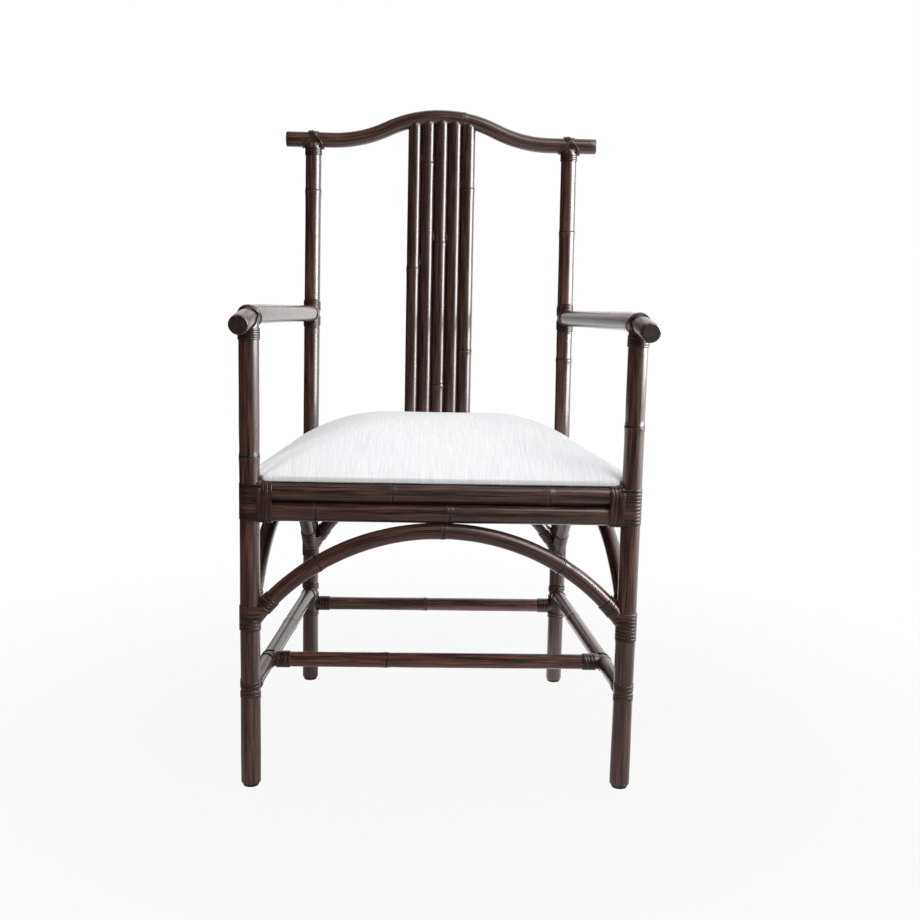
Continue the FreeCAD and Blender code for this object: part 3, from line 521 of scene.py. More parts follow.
def grown(name, path, tree, **settings):
    """Plain mesh object that a tree grows on a path."""
    carrier = add_object(f"{name}_path", path)
    modifier = carrier.modifiers.new("grow", "NODES")
    modifier.node_group = tree
    for item in tree.interface.items_tree:
        label = item.name.lower().replace(" ", "_")
        if item.in_out == "INPUT" and label in settings:
            modifier[item.identifier] = settings[label]
    mesh = taken_from(carrier, preserve_all_data_layers=True)
    mesh.name = name
    return add_object(name, mesh)


def add_object(name, mesh):
    """Object in the scene that shows a mesh."""
    piece = bpy.data.objects.new(name, mesh)
    scene.collection.objects.link(piece)
    return piece


def stand_for(piece, slot, *nodes):
    """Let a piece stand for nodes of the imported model."""
    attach(piece, "root")
    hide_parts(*nodes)


# Finishes: colours from dark to light, and how often a pattern repeats in a metre
BLACK, WHITE = (0, 0, 0), (1, 1, 1)
RED_RATTAN = ((0.010, 0.0026, 0.0017), (0.066, 0.0170, 0.0105), (0.145, 0.057, 0.040))
OLIVE_RATTAN = ((0.010, 0.0042, 0.0027), (0.060, 0.0220, 0.0128), (0.148, 0.070, 0.043))
RATTAN_STREAKS = {"fine": (1100, 1100, 20), "broad": (280, 280, 10)}
RATTAN_PATCHES = (26, 26, 4)
RING_WAVES, RING_WAVE_HEIGHT = (90, 90, 1), 0.006
# Painted highlight: a lighter band along one side of each ring
RING_HIGHLIGHT_COLOUR, RING_HIGHLIGHT_PLACE, RING_HIGHLIGHT_WIDTH, RING_HIGHLIGHT_SHARE = (0.120, 0.065, 0.050), 0.0032, 0.0018, 0.2
# Painted shade: a near-black line in each ring's groove
RING_SHADE_COLOUR, RING_SHADE_WIDTH = (0.003, 0.0012, 0.001), 0.0012
LACQUER = 0.8
CANE_BROWN = ((0.015, 0.005, 0.0036), (0.054, 0.020, 0.0140), (0.125, 0.062, 0.043))
CANE_SHADES = ((0.55, 0.52, 0.50), (1.15, 1.10, 1.05), (2.0, 2.1, 1.9))
CANE_STREAKS = {"fine": (1400, 1400, 20), "broad": (300, 300, 30)}
SAWN_BROWN = ((0.022, 0.009, 0.007), (0.055, 0.022, 0.016))
SAWN_PORES, SAWN_CLOUDS = 900.0, (160, 160, 160)
PORE_SHADE = (0.25, 0.25, 0.25)
THREAD_WHITE = ((0.70, 0.70, 0.725), (0.80, 0.80, 0.815), (0.86, 0.86, 0.865))
CLOTH_TINT = ((0.965, 0.97, 1.0), (1.0, 1.0, 0.99))
CLOTH_SLUBS, CLOTH_PICKS, CLOTH_CLOUDS = (620, 22, 22), (160, 900, 900), (9, 9, 9)


def new_material(name, **sockets):
    """Material with a Principled surface: the material, its tree and the surface node."""
    material = bpy.data.materials.new(name)
    material.use_nodes = True
    tree = material.node_tree
    surface = tree.nodes["Principled BSDF"]
    for label, value in sockets.items():
        surface.inputs[label.replace("_", " ").title()].default_value = value
    return material, tree, surface


def object_place(tree, scale):
    """Object coordinates, scaled."""
    place = add(tree, "ShaderNodeTexCoord").outputs["Object"]
    return add(tree, "ShaderNodeMapping", {"Vector": place, "Scale": scale}).outputs["Vector"]


def grain_place(tree, scale):
    """Place on the straightened stock, scaled."""
    grain = add(tree, "ShaderNodeAttribute", attribute_name="grain").outputs["Vector"]
    return add(tree, "ShaderNodeMapping", {"Vector": grain, "Scale": scale}).outputs["Vector"]


def noise(tree, place, detail=3.0, roughness=0.55):
    """Noise of unit scale at a place."""
    inputs = {"Vector": place, "Scale": 1.0, "Detail": detail, "Roughness": roughness}
    return add(tree, "ShaderNodeTexNoise", inputs).outputs["Fac"]


def mingled(tree, first, second, share):
    """Two noises added, the first with its share."""
    return total(tree, product(tree, first, share), product(tree, second, 1 - share))


def ramp(tree, factor, places, colours):
    """Colours along a factor, each at its place."""
    node = add(tree, "ShaderNodeValToRGB", {"Fac": factor})
    elements = node.color_ramp.elements
    while len(elements) < len(places):
        elements.new(1.0)
    for element, place, colour in zip(elements, places, colours):
        element.position = place
        element.color = (*colour, 1.0)
    return node.outputs["Color"]


def blended(tree, factor, first, second, kind="MIX"):
    """Mix of two colours."""
    node = add(tree, "ShaderNodeMix", data_type="RGBA", blend_type=kind)
    for index, value in ((0, factor), (6, first), (7, second)):
        if isinstance(value, bpy.types.NodeSocket):
            tree.links.new(value, node.inputs[index])
        else:
            node.inputs[index].default_value = value if index == 0 else (*value, 1.0)
    return node.outputs[2]


def span(tree, factor, low, high):
    """A factor of 0 to 1 brought to another span."""
    inputs = {"Value": factor, "To Min": low, "To Max": high}
    return add(tree, "ShaderNodeMapRange", inputs).outputs["Result"]


def smooth_range(tree, value, start, end, low, high):
    """A value between start and end brought smoothly to the span from low to high."""
    inputs = {"Value": value, "From Min": start, "From Max": end, "To Min": low, "To Max": high}
    return add(tree, "ShaderNodeMapRange", inputs, interpolation_type="SMOOTHSTEP").outputs["Result"]


def finish(tree, surface, colour, roughness, height, relief, strength):
    """Give a surface its colour, its roughness and fine relief."""
    tree.links.new(colour, surface.inputs["Base Color"])
    tree.links.new(roughness, surface.inputs["Roughness"])
    inputs = {"Height": height, "Distance": relief, "Strength": strength}
    tree.links.new(add(tree, "ShaderNodeBump", inputs).outputs["Normal"], surface.inputs["Normal"])


def rattan():
    """Dark stained rattan skin with lengthwise streaks under a satin lacquer, with a painted highlight
    beside each ring and painted shade in its groove.
    """
    material, tree, surface = new_material("espresso_rattan", coat_roughness=0.17)
    fine = noise(tree, grain_place(tree, RATTAN_STREAKS["fine"]))
    broad = noise(tree, grain_place(tree, RATTAN_STREAKS["broad"]), detail=4.0, roughness=0.6)
    patch = noise(tree, grain_place(tree, RATTAN_PATCHES), detail=2.0)
    streak = mingled(tree, fine, broad, 0.45)
    places = (0.40, 0.50, 0.60)
    red = ramp(tree, streak, places, RED_RATTAN)
    olive = ramp(tree, streak, places, OLIVE_RATTAN)
    choice = ramp(tree, patch, (0.42, 0.58), (BLACK, WHITE))
    colour = blended(tree, choice, red, olive)
    # Each pole's tone multiplies its colour; on the two stretchers this is painted reflection
    tone = add(tree, "ShaderNodeAttribute", attribute_name="tone").outputs["Color"]
    colour = blended(tree, 1.0, colour, tone, "MULTIPLY")

    ring = add(tree, "ShaderNodeAttribute", attribute_name="ring").outputs["Fac"]
    wave = noise(tree, grain_place(tree, RING_WAVES), detail=2.0)
    swing = product(tree, maths(tree, "SUBTRACT", wave, 0.5), RING_WAVE_HEIGHT)
    ring = total(tree, ring, swing)
    # Painted highlight: a lighter band beside each ring, where its edge would catch the light
    ring_highlight = bell(tree, total(tree, ring, RING_HIGHLIGHT_PLACE), RING_HIGHLIGHT_WIDTH)
    colour = blended(tree, product(tree, ring_highlight, RING_HIGHLIGHT_SHARE), colour, RING_HIGHLIGHT_COLOUR)
    # Painted shade: a near-black line in the ring's groove, with no lacquer and full roughness there so
    # that it shows no reflection
    ring_shade = bell(tree, ring, RING_SHADE_WIDTH)
    colour = blended(tree, ring_shade, colour, RING_SHADE_COLOUR)
    satin = maths(tree, "MAXIMUM", span(tree, streak, 0.30, 0.52), ring_shade)
    finish(tree, surface, colour, satin, streak, relief=0.0007, strength=0.4)
    tree.links.new(span(tree, ring_shade, LACQUER, 0.0), surface.inputs["Coat Weight"])
    return material


def cane():
    """Dark cane strip, smooth along its length."""
    material, tree, surface = new_material("bound_cane", coat_weight=0.4, coat_roughness=0.2)
    fine = noise(tree, grain_place(tree, CANE_STREAKS["fine"]))
    broad = noise(tree, grain_place(tree, CANE_STREAKS["broad"]), detail=4.0)
    streak = mingled(tree, fine, broad, 0.5)
    colour = ramp(tree, streak, (0.38, 0.52, 0.66), CANE_BROWN)
    tone = add(tree, "ShaderNodeAttribute", attribute_name="tone").outputs["Fac"]
    shade = ramp(tree, tone, (0.0, 0.85, 1.0), CANE_SHADES)
    colour = blended(tree, 1.0, colour, shade, "MULTIPLY")
    satin = span(tree, streak, 0.26, 0.46)
    finish(tree, surface, colour, satin, streak, relief=0.0004, strength=0.5)
    return material


def sawn_rattan():
    """Sawn end of a pole: pores in dark red brown under lacquer."""
    material, tree, surface = new_material("sawn_rattan", coat_weight=0.25, coat_roughness=0.3)
    cells = {"Vector": object_place(tree, (1, 1, 1)), "Scale": SAWN_PORES}
    pores = add(tree, "ShaderNodeTexVoronoi", cells).outputs["Distance"]
    cloud = noise(tree, object_place(tree, SAWN_CLOUDS))
    ground = ramp(tree, cloud, (0.35, 0.65), SAWN_BROWN)
    dots = ramp(tree, pores, (0.16, 0.30), (PORE_SHADE, WHITE))
    colour = blended(tree, 1.0, ground, dots, "MULTIPLY")
    finish(tree, surface, colour, span(tree, cloud, 0.45, 0.62), pores, relief=0.0003, strength=0.5)
    return material


def seat_cloth():
    """White cloth with fine slubs from front to back."""
    sheen = {"sheen_weight": 0.25, "sheen_roughness": 0.5}
    material, tree, surface = new_material("white_slub_cloth", **sheen)
    slub = noise(tree, object_place(tree, CLOTH_SLUBS), roughness=0.6)
    pick = noise(tree, object_place(tree, CLOTH_PICKS), detail=2.0)
    cloud = noise(tree, object_place(tree, CLOTH_CLOUDS), detail=2.0)
    weave = mingled(tree, slub, pick, 0.72)
    thread = ramp(tree, weave, (0.34, 0.50, 0.66), THREAD_WHITE)
    tint = ramp(tree, cloud, (0.35, 0.65), CLOTH_TINT)
    colour = blended(tree, 1.0, thread, tint, "MULTIPLY")
    finish(tree, surface, colour, span(tree, weave, 0.78, 0.95), weave, relief=0.0011, strength=0.3)
    return material


def mottled(name, dark, light, scale, rough, relief, metallic):
    """Material with a two-colour mottle, for the plain fittings."""
    material, tree, surface = new_material(name, metallic=metallic)
    cloud = noise(tree, object_place(tree, scale), detail=4.0)
    colour = ramp(tree, cloud, (0.35, 0.65), (dark, light))
    finish(tree, surface, colour, span(tree, cloud, *rough), cloud, relief, strength=0.5)
    return material


rattan_skin = rattan()
rattan_end = sawn_rattan()
bound_cane = cane()
white_cloth = seat_cloth()

Look = namedtuple("Look", "name dark light scale rough relief metallic", defaults=(0.0,))
BEECH = Look("beech_pin", (0.30, 0.18, 0.09), (0.44, 0.29, 0.16), (300, 300, 60), (0.5, 0.7), 0.0002)
ZINC = Look("zinc_screw", (0.42, 0.42, 0.43), (0.60, 0.60, 0.61), (500,) * 3, (0.28, 0.45), 0.0001, 1.0)
NYLON = Look("dark_nylon", (0.010, 0.008, 0.007), (0.020, 0.016, 0.014), (400,) * 3, (0.4, 0.6), 0.0002)
PLY = Look("birch_ply", (0.36, 0.24, 0.13), (0.52, 0.38, 0.23), (14, 160, 160), (0.55, 0.75), 0.0003)
DUST_CLOTH = Look(
    "black_dust_cloth", (0.012, 0.012, 0.013), (0.030, 0.030, 0.032), (900,) * 3, (0.85, 0.98), 0.0004
)
FITTINGS = {
    BEECH: [f"{joint}_pins" for joint in ("rail", "arch", "stretcher", "back_pole", "crest", "arm")],
    ZINC: ["seat_screws"],
    NYLON: ["foot_glides"],
    PLY: ["seat_board"],
    DUST_CLOTH: ["dust_cover"],
}
for look, nodes in FITTINGS.items():
    material = mottled(*look)
    for node in nodes:
        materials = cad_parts[node].data.materials
        materials.clear()
        materials.append(material)


# Poles
rattan_pole = pole_tree()


def pole_path_mesh(name, points):
    """Path of a pole with close points at its ends and rings, and the distance to the nearest ring."""
    length = lengths_along(points)[-1]
    rings = ring_stations(name, points)
    count = max(2, math.ceil(length / PATH_STEP))
    wanted = [length * step / count for step in range(count + 1)]
    wanted += [ring + offset * MILLIMETRE for ring in rings for offset in RING_OFFSETS_MM]
    wanted += list(END_INSETS) + [length - inset for inset in END_INSETS]
    stations = [0.0]
    for station in sorted(wanted):
        if stations[-1] + LEAST_STEP < station < length - LEAST_STEP:
            stations.append(station)
    stations.append(length)
    mesh = bpy.data.meshes.new(name)
    edges = [(index, index + 1) for index in range(len(stations) - 1)]
    mesh.from_pydata([walk(points, station) for station in stations], edges, [])
    ring = mesh.attributes.new("ring", "FLOAT", "POINT")
    for index, station in enumerate(stations):
        distances = (station - place for place in rings)
        ring.data[index].value = min(distances, key=abs, default=FAR_FROM_RINGS)
    return mesh


def make_pole(name, points, radius, start_trim=BUTT_DEPTH, end_trim=BUTT_DEPTH, wander=POLE_WANDER):
    """Rattan pole that stands for the node of the same name."""
    path = pole_path_mesh(name, trimmed(points, start_trim, end_trim))
    piece = grown(
        f"{name}_rattan",
        path,
        rattan_pole,
        radius=radius,
        sides=POLE_SIDES,
        **{label.lower().replace(" ", "_"): size for label, size in RING_FORM.items()},
        wander=wander,
        edge_break=EDGE_BREAK,
        # the pole's tone: painted reflection on the cross and rear stretchers
        tone=POLE_TONES_AND_PAINTED_LIGHT.get(name, 1.0),
        seed=SEED_STEP * len(pole_paths),
        skin=rattan_skin,
        sawn_end=rattan_end,
    )
    pole_paths[name] = points
    stand_for(piece, "pole", name)


pole_paths = {}
for side in SIDES:
    arm = arm_path(side)
    arm_over_leg = min(arm, key=lambda point: (point - leg_axis(side, "front", point.z)).length)
    front_leg = [legs[side, "front"], leg_axis(side, "front", arm_over_leg.z)]
    make_pole(f"front_leg_{side}", front_leg, LEG_RADII["front"], start_trim=0.0)
    make_pole(f"rear_leg_{side}", rear_leg_path(side), LEG_RADII["rear"], start_trim=0.0)
    make_pole(f"arm_{side}", arm, ARM_RADIUS, end_trim=0.0)
    make_pole(f"{side}_stretcher", side_stretcher_path(side), STRETCHER_RADIUS)
make_pole("crest_rail", crest_path(), CREST_RADIUS, start_trim=0.0, end_trim=0.0)
make_pole("cross_stretcher", cross_stretcher_path(), STRETCHER_RADIUS)

RUNS = {
    "front": (("left", "front"), ("right", "front")),
    "rear": (("left", "rear"), ("right", "rear")),
    "left": (("left", "front"), ("left", "rear")),
    "right": (("right", "front"), ("right", "rear")),
}
for run_name, ends in RUNS.items():
    for level, height in (("upper", upper_rail), ("lower", lower_rail)):
        rail = [leg_axis(side, row, height) for side, row in ends]
        make_pole(f"{run_name}_rail_{level}", rail, RAIL_RADIUS, wander=STRAIGHT_WANDER)
    feet = [leg_axis(side, row, ARCH_FOOT_HEIGHT) for side, row in ends]
    make_pole(f"{run_name}_arch", arch_path(*feet), ARCH_RADIUS)
rear_stretcher_height = middle("rear_stretcher").z
rear_stretcher = [leg_axis(side, "rear", rear_stretcher_height) for side in SIDES]
make_pole("rear_stretcher", rear_stretcher, STRETCHER_RADIUS)
for number in range(1, BACK_POLES + 1):
    x = middle(f"back_pole_{number}").x
    back_pole = [Vector((x, legs["left", "rear"].y, upper_rail)), crest_point(x)]
    make_pole(f"back_pole_{number}", back_pole, BACK_POLE_RADIUS, wander=STRAIGHT_WANDER)


# Cane bindings
Loop = namedtuple("Loop", "points outwards closed")
cane_strip = strip_tree()


def round_steps(first, second, offset=0.0):
    """Angles and directions of the steps round a pole, from the first direction to the second."""
    for step in range(LOOP_STEPS):
        angle = 2 * math.pi * (step + offset) / LOOP_STEPS
        yield angle, math.cos(angle) * first + math.sin(angle) * second


def tilted_loop(centre, axis, ahead, radius, near, far, ease=1.0):
    """Closed loop round a pole: near is its place along the axis on the side ahead, far on the other.

    An ease below 1 keeps the loop longer at both places and swings it faster between them.
    """
    points = []
    outwards = []
    for angle, outward in round_steps(ahead, axis.cross(ahead)):
        swing = math.copysign(abs(math.cos(angle)) ** ease, math.cos(angle))
        place = (near + far) / 2 + (near - far) / 2 * swing
        points.append(centre + axis * place + outward * radius)
        outwards.append(outward)
    return Loop(points, outwards, True)


def rings_on(centre, axis, ahead, radius, first, count, pitch=STRIP_PITCH):
    """Rings side by side along a pole."""
    places = [first + pitch * index for index in range(count)]
    return [tilted_loop(centre, axis, ahead, radius + FIRST_LAYER, place, place) for place in places]


def fork_loops(centre, axis, ahead, radius, clear, count, pitch=STRIP_PITCH, layer=FIRST_LAYER):
    """Loops that spread above and below a pole that butts on the side ahead, and meet behind."""
    loops = []
    for sign in (1, -1):
        for index in range(count):
            near = sign * (clear + pitch * (index + 0.5))
            far = sign * pitch * (index + 0.5)
            loops.append(tilted_loop(centre, axis, ahead, radius + layer, near, far))
    return loops


def crossed_loops(centre, axis, over, radius, top, bottom, count):
    """Two bands of fine strip that cross on the sides of a pole laid over the end of another."""
    loops = []
    for sign, layer in ((1, FIRST_LAYER), (-1, SECOND_LAYER)):
        for index in range(count):
            near = sign * (top - FINE_PITCH * index)
            far = -sign * (bottom + BUNCHED_PITCH * index)
            lifted = radius + layer + BUNCHED_LIFT * index
            loops.append(tilted_loop(centre, axis, over, lifted, near, far, CROSSING_EASE))
    return loops


def pair_loop(centre, axis, apart, spread, radius):
    """Closed loop round two equal poles that lie a spread apart."""
    points = []
    outwards = []
    for angle, outward in round_steps(apart, axis.cross(apart), offset=0.5):
        half = math.copysign(spread / 2, math.cos(angle))
        points.append(centre + apart * half + outward * radius)
        outwards.append(outward)
    return Loop(points, outwards, True)


def outside_of(rail, other):
    """Level direction across a rail, away from the other rail of its corner."""
    outward = rail.cross(UP).normalized()
    return -outward if outward.dot(other) > 0 else outward


def corner_turn(leg, radius, first, second, reach, layer):
    """Open turn from the outside of one rail round the leg to the outside of the next."""
    start = outside_of(first, second)
    end = outside_of(second, first)
    steps = LOOP_STEPS // 4
    turns = [start.slerp(end, step / steps) for step in range(steps + 1)]
    points = [leg + outward * (radius + layer) for outward in turns]
    points = [points[0] + first * reach] + points + [points[-1] + second * reach]
    return Loop(points, [start] + turns + [end], False)


def bundle_loop(circles, height, layer):
    """Closed level loop round several poles: each circle is a centre and a radius."""
    rim = []
    for centre, radius in circles:
        for _, outward in round_steps(Vector((1, 0)), Vector((0, 1))):
            rim.append(centre.xy + outward * (radius + layer))
    hull = [rim[index] for index in convex_hull_2d(rim)]
    points = [point.to_3d() + UP * height for point in hull]
    outwards = []
    for before, after in zip(hull[-1:] + hull[:-1], hull[1:] + hull[:1]):
        outwards.append((after - before).to_3d().cross(UP).normalized())
    middle_point = sum(points, Vector()) / len(points)
    if outwards[0].dot(points[0] - middle_point) < 0:
        outwards = [-outward for outward in outwards]
    return Loop(points, outwards, True)


def make_binding(node, loops, width=STRIP_WIDTH, edge_radius=STRIP_EDGE_RADIUS):
    """Cane strips on a list of loops, standing for the binding node of the same place."""
    mesh = bpy.data.meshes.new(node)
    vertices = []
    edges = []
    outwards = []
    strips = []
    for number, loop in enumerate(loops):
        first = len(vertices)
        count = len(loop.points)
        vertices += loop.points
        outwards += loop.outwards
        strips += [number] * count
        edges += [(first + index, first + index + 1) for index in range(count - 1)]
        if loop.closed:
            edges.append((first + count - 1, first))
    mesh.from_pydata(vertices, edges, [])
    outward = mesh.attributes.new("outward", "FLOAT_VECTOR", "POINT")
    outward.data.foreach_set("vector", [value for vector in outwards for value in vector])
    strip = mesh.attributes.new("strip", "INT", "POINT")
    strip.data.foreach_set("value", strips)
    piece = grown(
        f"{node}_cane",
        mesh,
        cane_strip,
        width=width,
        thickness=STRIP_THICKNESS,
        edge_radius=edge_radius,
        uneven=CANE_UNEVEN,
        seed=CANE_SEED,
        cane=bound_cane,
    )
    stand_for(piece, "cane", node)


def make_fine_binding(node, loops):
    """Binding of the fine strip that holds the crest and the arms."""
    make_binding(node, loops, FINE_STRIP_WIDTH, FINE_EDGE_RADIUS)


def crest_binding(side):
    """Bands crossed over the crest, and turns round the post below it."""
    joint = crest_base + RIGHT * legs[side, "rear"].x
    radius = LEG_RADII["rear"]
    clear = radius + CREST_BAND_CLEAR
    loops = crossed_loops(joint, RIGHT, lean, CREST_RADIUS, CREST_BAND_REACH, clear, CREST_BANDS)
    start = CREST_RADIUS + CREST_RING_START
    loops += rings_on(joint, -lean, BACK, radius, start, CREST_RINGS, FINE_PITCH)
    make_fine_binding(f"crest_binding_{side}", loops)


def arm_rear_binding(side):
    """Loops round the post above and below the arm, and rings on the arm's end."""
    rear, ahead, _ = arm_frame(side)
    radius = LEG_RADII["rear"]
    loops = fork_loops(rear, lean, ahead, radius, ARM_RADIUS + ARM_LOOP_CLEAR, ARM_LOOPS, FINE_PITCH)
    along = (ahead + UP * math.tan(ARM_SLOPE)).normalized()
    start = radius + ARM_RING_START
    loops += rings_on(rear, along, UP, ARM_RADIUS, start, ARM_REAR_RINGS, FINE_PITCH)
    make_fine_binding(f"arm_rear_binding_{side}", loops)


def arm_front_binding(side):
    """Bands crossed over the arm, and turns round the top of the leg."""
    arm = pole_paths[f"arm_{side}"]
    joint = pole_paths[f"front_leg_{side}"][-1]
    nearest = min(range(1, len(arm) - 1), key=lambda index: (arm[index] - joint).length)
    along = (arm[nearest + 1] - arm[nearest - 1]).normalized()
    over = (UP - along * along.dot(UP)).normalized()
    radius = LEG_RADII["front"]
    clear = radius + ARM_BAND_CLEAR
    loops = crossed_loops(joint, -along, over, ARM_RADIUS, ARM_BAND_REACH, clear, ARM_BANDS)
    start = ARM_RADIUS + ARM_RING_START
    loops += rings_on(joint, -UP, BACK, radius, start, ARM_FRONT_RINGS, FINE_PITCH)
    make_fine_binding(f"arm_front_binding_{side}", loops)


def rail_directions(side, row):
    """Directions from a leg along its cross rails and its side rails."""
    other_side = "right" if side == "left" else "left"
    other_row = "rear" if row == "front" else "front"
    leg = leg_axis(side, row, 0)
    cross = (leg_axis(other_side, row, 0) - leg).normalized()
    along_side = (leg_axis(side, other_row, 0) - leg).normalized()
    return cross, along_side


def seat_binding(side, row):
    """Strips round both pairs of rails beside a leg, and turns round the leg between them."""
    radius = LEG_RADII[row]
    middle_height = (upper_rail + lower_rail) / 2
    leg = leg_axis(side, row, middle_height)
    directions = rail_directions(side, row)
    loops = []
    for direction in directions:
        for index in range(SEAT_PAIRS):
            place = leg + direction * (radius + STRIP_PITCH * index)
            loops.append(pair_loop(place, direction, UP, rail_pitch, RAIL_RADIUS + SECOND_LAYER))
    for index in range(SEAT_TURNS):
        turn_leg = leg + UP * (index - (SEAT_TURNS - 1) / 2) * STRIP_PITCH
        loops.append(corner_turn(turn_leg, radius, *directions, radius + SEAT_TURN_REACH, SUNK_LAYER))
    make_binding(f"seat_{row}_binding_{side}", loops)


def arch_binding(side, row):
    """Rings on the ends of two arches, and turns that take in the leg."""
    radius = LEG_RADII[row]
    foot = leg_axis(side, row, ARCH_FOOT_HEIGHT)
    loops = []
    arches = []
    for run_name in (row, side):
        arch = pole_paths[f"{run_name}_arch"]
        if (arch[0] - foot).length > (arch[-1] - foot).length:
            arch = arch[::-1]
        for index in range(ARCH_RINGS):
            distance = ARCH_RING_START + STRIP_PITCH * index
            place = walk(arch, distance)
            tangent = (walk(arch, distance + TANGENT_STEP) - place).normalized()
            across = tangent.cross(UP).normalized()
            loops += rings_on(place, tangent, across, ARCH_RADIUS, 0.0, 1)
        arches.append(arch)
    taken_in, below_arch = ARCH_TURNS[side]
    for index in range(taken_in):
        height = ARCH_FOOT_HEIGHT + ARCH_TURN_START + STRIP_PITCH * index
        round_poles = [(leg_axis(side, row, height), radius)]
        for arch in arches:
            climb = arch[1] - arch[0]
            centre = arch[0] + climb * ((height - arch[0].z) / climb.z)
            round_poles.append((centre, ARCH_RADIUS))
        loops.append(bundle_loop(round_poles, height, FIRST_LAYER))
    loops += rings_on(foot, -UP, BACK, radius, BELOW_ARCH_START, below_arch)
    make_binding(f"arch_{row}_binding_{side}", loops)


def stretcher_end_loops(joint, far_end, radius, sink, layer):
    """Loops round a leg above and below a side stretcher, and rings on the stretcher's end."""
    direction = (far_end - joint).normalized()
    level = (direction - UP * direction.z).normalized()
    clear = STRETCHER_RADIUS - sink
    loops = fork_loops(joint, UP, level, radius, clear, STRETCHER_LOOPS, layer=layer)
    start = radius + STRETCHER_RING_START
    return loops + rings_on(joint, direction, UP, STRETCHER_RADIUS, start, STRETCHER_RINGS)


def stretcher_bindings(side):
    """Bindings at both ends of a side stretcher; the rear one takes in the rear stretcher."""
    front, rear = side_stretcher_path(side)
    loops = stretcher_end_loops(front, rear, LEG_RADII["front"], FRONT_LOOP_SINK, SUNK_LAYER)
    make_binding(f"stretcher_front_binding_{side}", loops)
    radius = LEG_RADII["rear"]
    loops = stretcher_end_loops(rear, front, radius, REAR_LOOP_SINK, FIRST_LAYER)
    cross = rail_directions(side, "rear")[0]
    joint = leg_axis(side, "rear", rear_stretcher_height)
    loops += rings_on(joint, cross, UP, STRETCHER_RADIUS, radius + CROSS_RING_START, CROSS_RINGS)
    loops += rings_on(joint, -UP, BACK, radius, STRETCHER_RADIUS + LEG_RING_START, LEG_RINGS)
    make_binding(f"stretcher_rear_binding_{side}", loops)


def cross_stretcher_binding(side):
    """Rings on the end of the cross stretcher, and loops over the side stretcher."""
    front, rear = side_stretcher_path(side)
    along = (rear - front).normalized()
    ends = cross_stretcher_path()
    joint, other = ends if side == "left" else ends[::-1]
    direction = (other - joint).normalized()
    start = STRETCHER_RADIUS + CROSS_RING_START
    loops = rings_on(joint, direction, UP, STRETCHER_RADIUS, start, CROSS_RINGS)
    level = (direction - along * along.dot(direction)).normalized()
    clear = STRETCHER_RADIUS - REAR_LOOP_SINK
    loops += fork_loops(joint, along, level, STRETCHER_RADIUS, clear, CROSS_LOOPS)
    make_binding(f"cross_stretcher_binding_{side}", loops)


for side in SIDES:
    crest_binding(side)
    arm_rear_binding(side)
    arm_front_binding(side)
    for row in LEG_RADII:
        seat_binding(side, row)
        arch_binding(side, row)
    stretcher_bindings(side)
    cross_stretcher_binding(side)


# Padded seat
SEAT_SIDE_OVERHANG = 0.008
SEAT_CORNER_RADIUS = 0.030
SEAT_LEG_GAP = 0.0025
SEAT_EDGE_HEIGHT = 0.0085
SEAT_DRAW = 0.0005
SEAT_CROWN_RUN = 0.148
SEAT_CROWN_POWER = 1.6
SEAT_SWELL = 0.003
SEAT_REMESH = 0.005
SEAT_HELD = 0.0088
SEAT_FLAT = 0.0012
REAR_LIP_DROP = 0.0075
REAR_LIP_DEPTH = 0.012
REAR_LIP_HALF = 0.190
REAR_LIP_FADE = 0.020
SEAT_PRESSURE = 4.0
SEAT_MOVE_CAP = 0.005
SEAT_FRAMES = 20
SEAT_CLOTH = {
    "quality": 6,
    "mass": 0.25,
    "tension_stiffness": 25,
    "compression_stiffness": 25,
    "shear_stiffness": 12,
    "bending_stiffness": 2.0,
    "use_pressure": True,
    "uniform_pressure_force": SEAT_PRESSURE,
}
EDGE_SAMPLES = 8
EDGE_EASE = 0.5
PLEAT_ANGLE = math.radians(50)
PLEAT_START = 0.014
PLEAT_LENGTH = 0.045
PLEAT_WIDTH = 0.0035
PLEATS = ((-0.0065, -0.0022), (0.0, 0.0015), (0.0065, -0.0022))
CORNER_STEPS = 12
SIDE_STEPS = 40
CROWN_STEPS = 14
seat_low, seat_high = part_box("seat_cover")
side_run = legs["right", "rear"] - legs["right", "front"]
side_slope = -side_run.x / side_run.y


def seat_outline(inset):
    """Rounded trapezium over the rails, drawn in by an inset, as points in the plan."""
    front = seat_low.y + inset
    rear = seat_high.y - inset
    leg = legs["right", "front"]
    overhang = (SEAT_SIDE_OVERHANG - inset) * math.hypot(1, side_slope)
    front_half = leg.x - side_slope * (front - leg.y) + overhang
    rear_half = leg.x - side_slope * (rear - leg.y) + overhang
    corners = [
        Vector((-front_half, front)),
        Vector((front_half, front)),
        Vector((rear_half, rear)),
        Vector((-rear_half, rear)),
    ]
    points = []
    for before, corner, after in zip(corners[-1:] + corners[:-1], corners, corners[1:] + corners[:1]):
        back = (before - corner).normalized()
        on = (after - corner).normalized()
        half_angle = back.angle(on) / 2
        centre = corner + (back + on).normalized() * (SEAT_CORNER_RADIUS / math.sin(half_angle))
        start = corner + back * (SEAT_CORNER_RADIUS / math.tan(half_angle)) - centre
        end = corner + on * (SEAT_CORNER_RADIUS / math.tan(half_angle)) - centre
        for step in range(CORNER_STEPS + 1):
            points.append(centre + start.slerp(end, step / CORNER_STEPS) * SEAT_CORNER_RADIUS)
    full = []
    for here, following in zip(points, points[1:] + points[:1]):
        gap = (following - here).length
        steps = SIDE_STEPS if gap > SEAT_CORNER_RADIUS else 1
        full += [here.lerp(following, step / steps) for step in range(steps)]
    return full


def clear_of_legs(point):
    """Plan point moved out of the room that the legs need."""
    for (_, row), leg in legs.items():
        away = point - leg.xy
        room = LEG_RADII[row] + SEAT_LEG_GAP
        if away.length < room:
            return leg.xy + away.normalized() * room
    return point


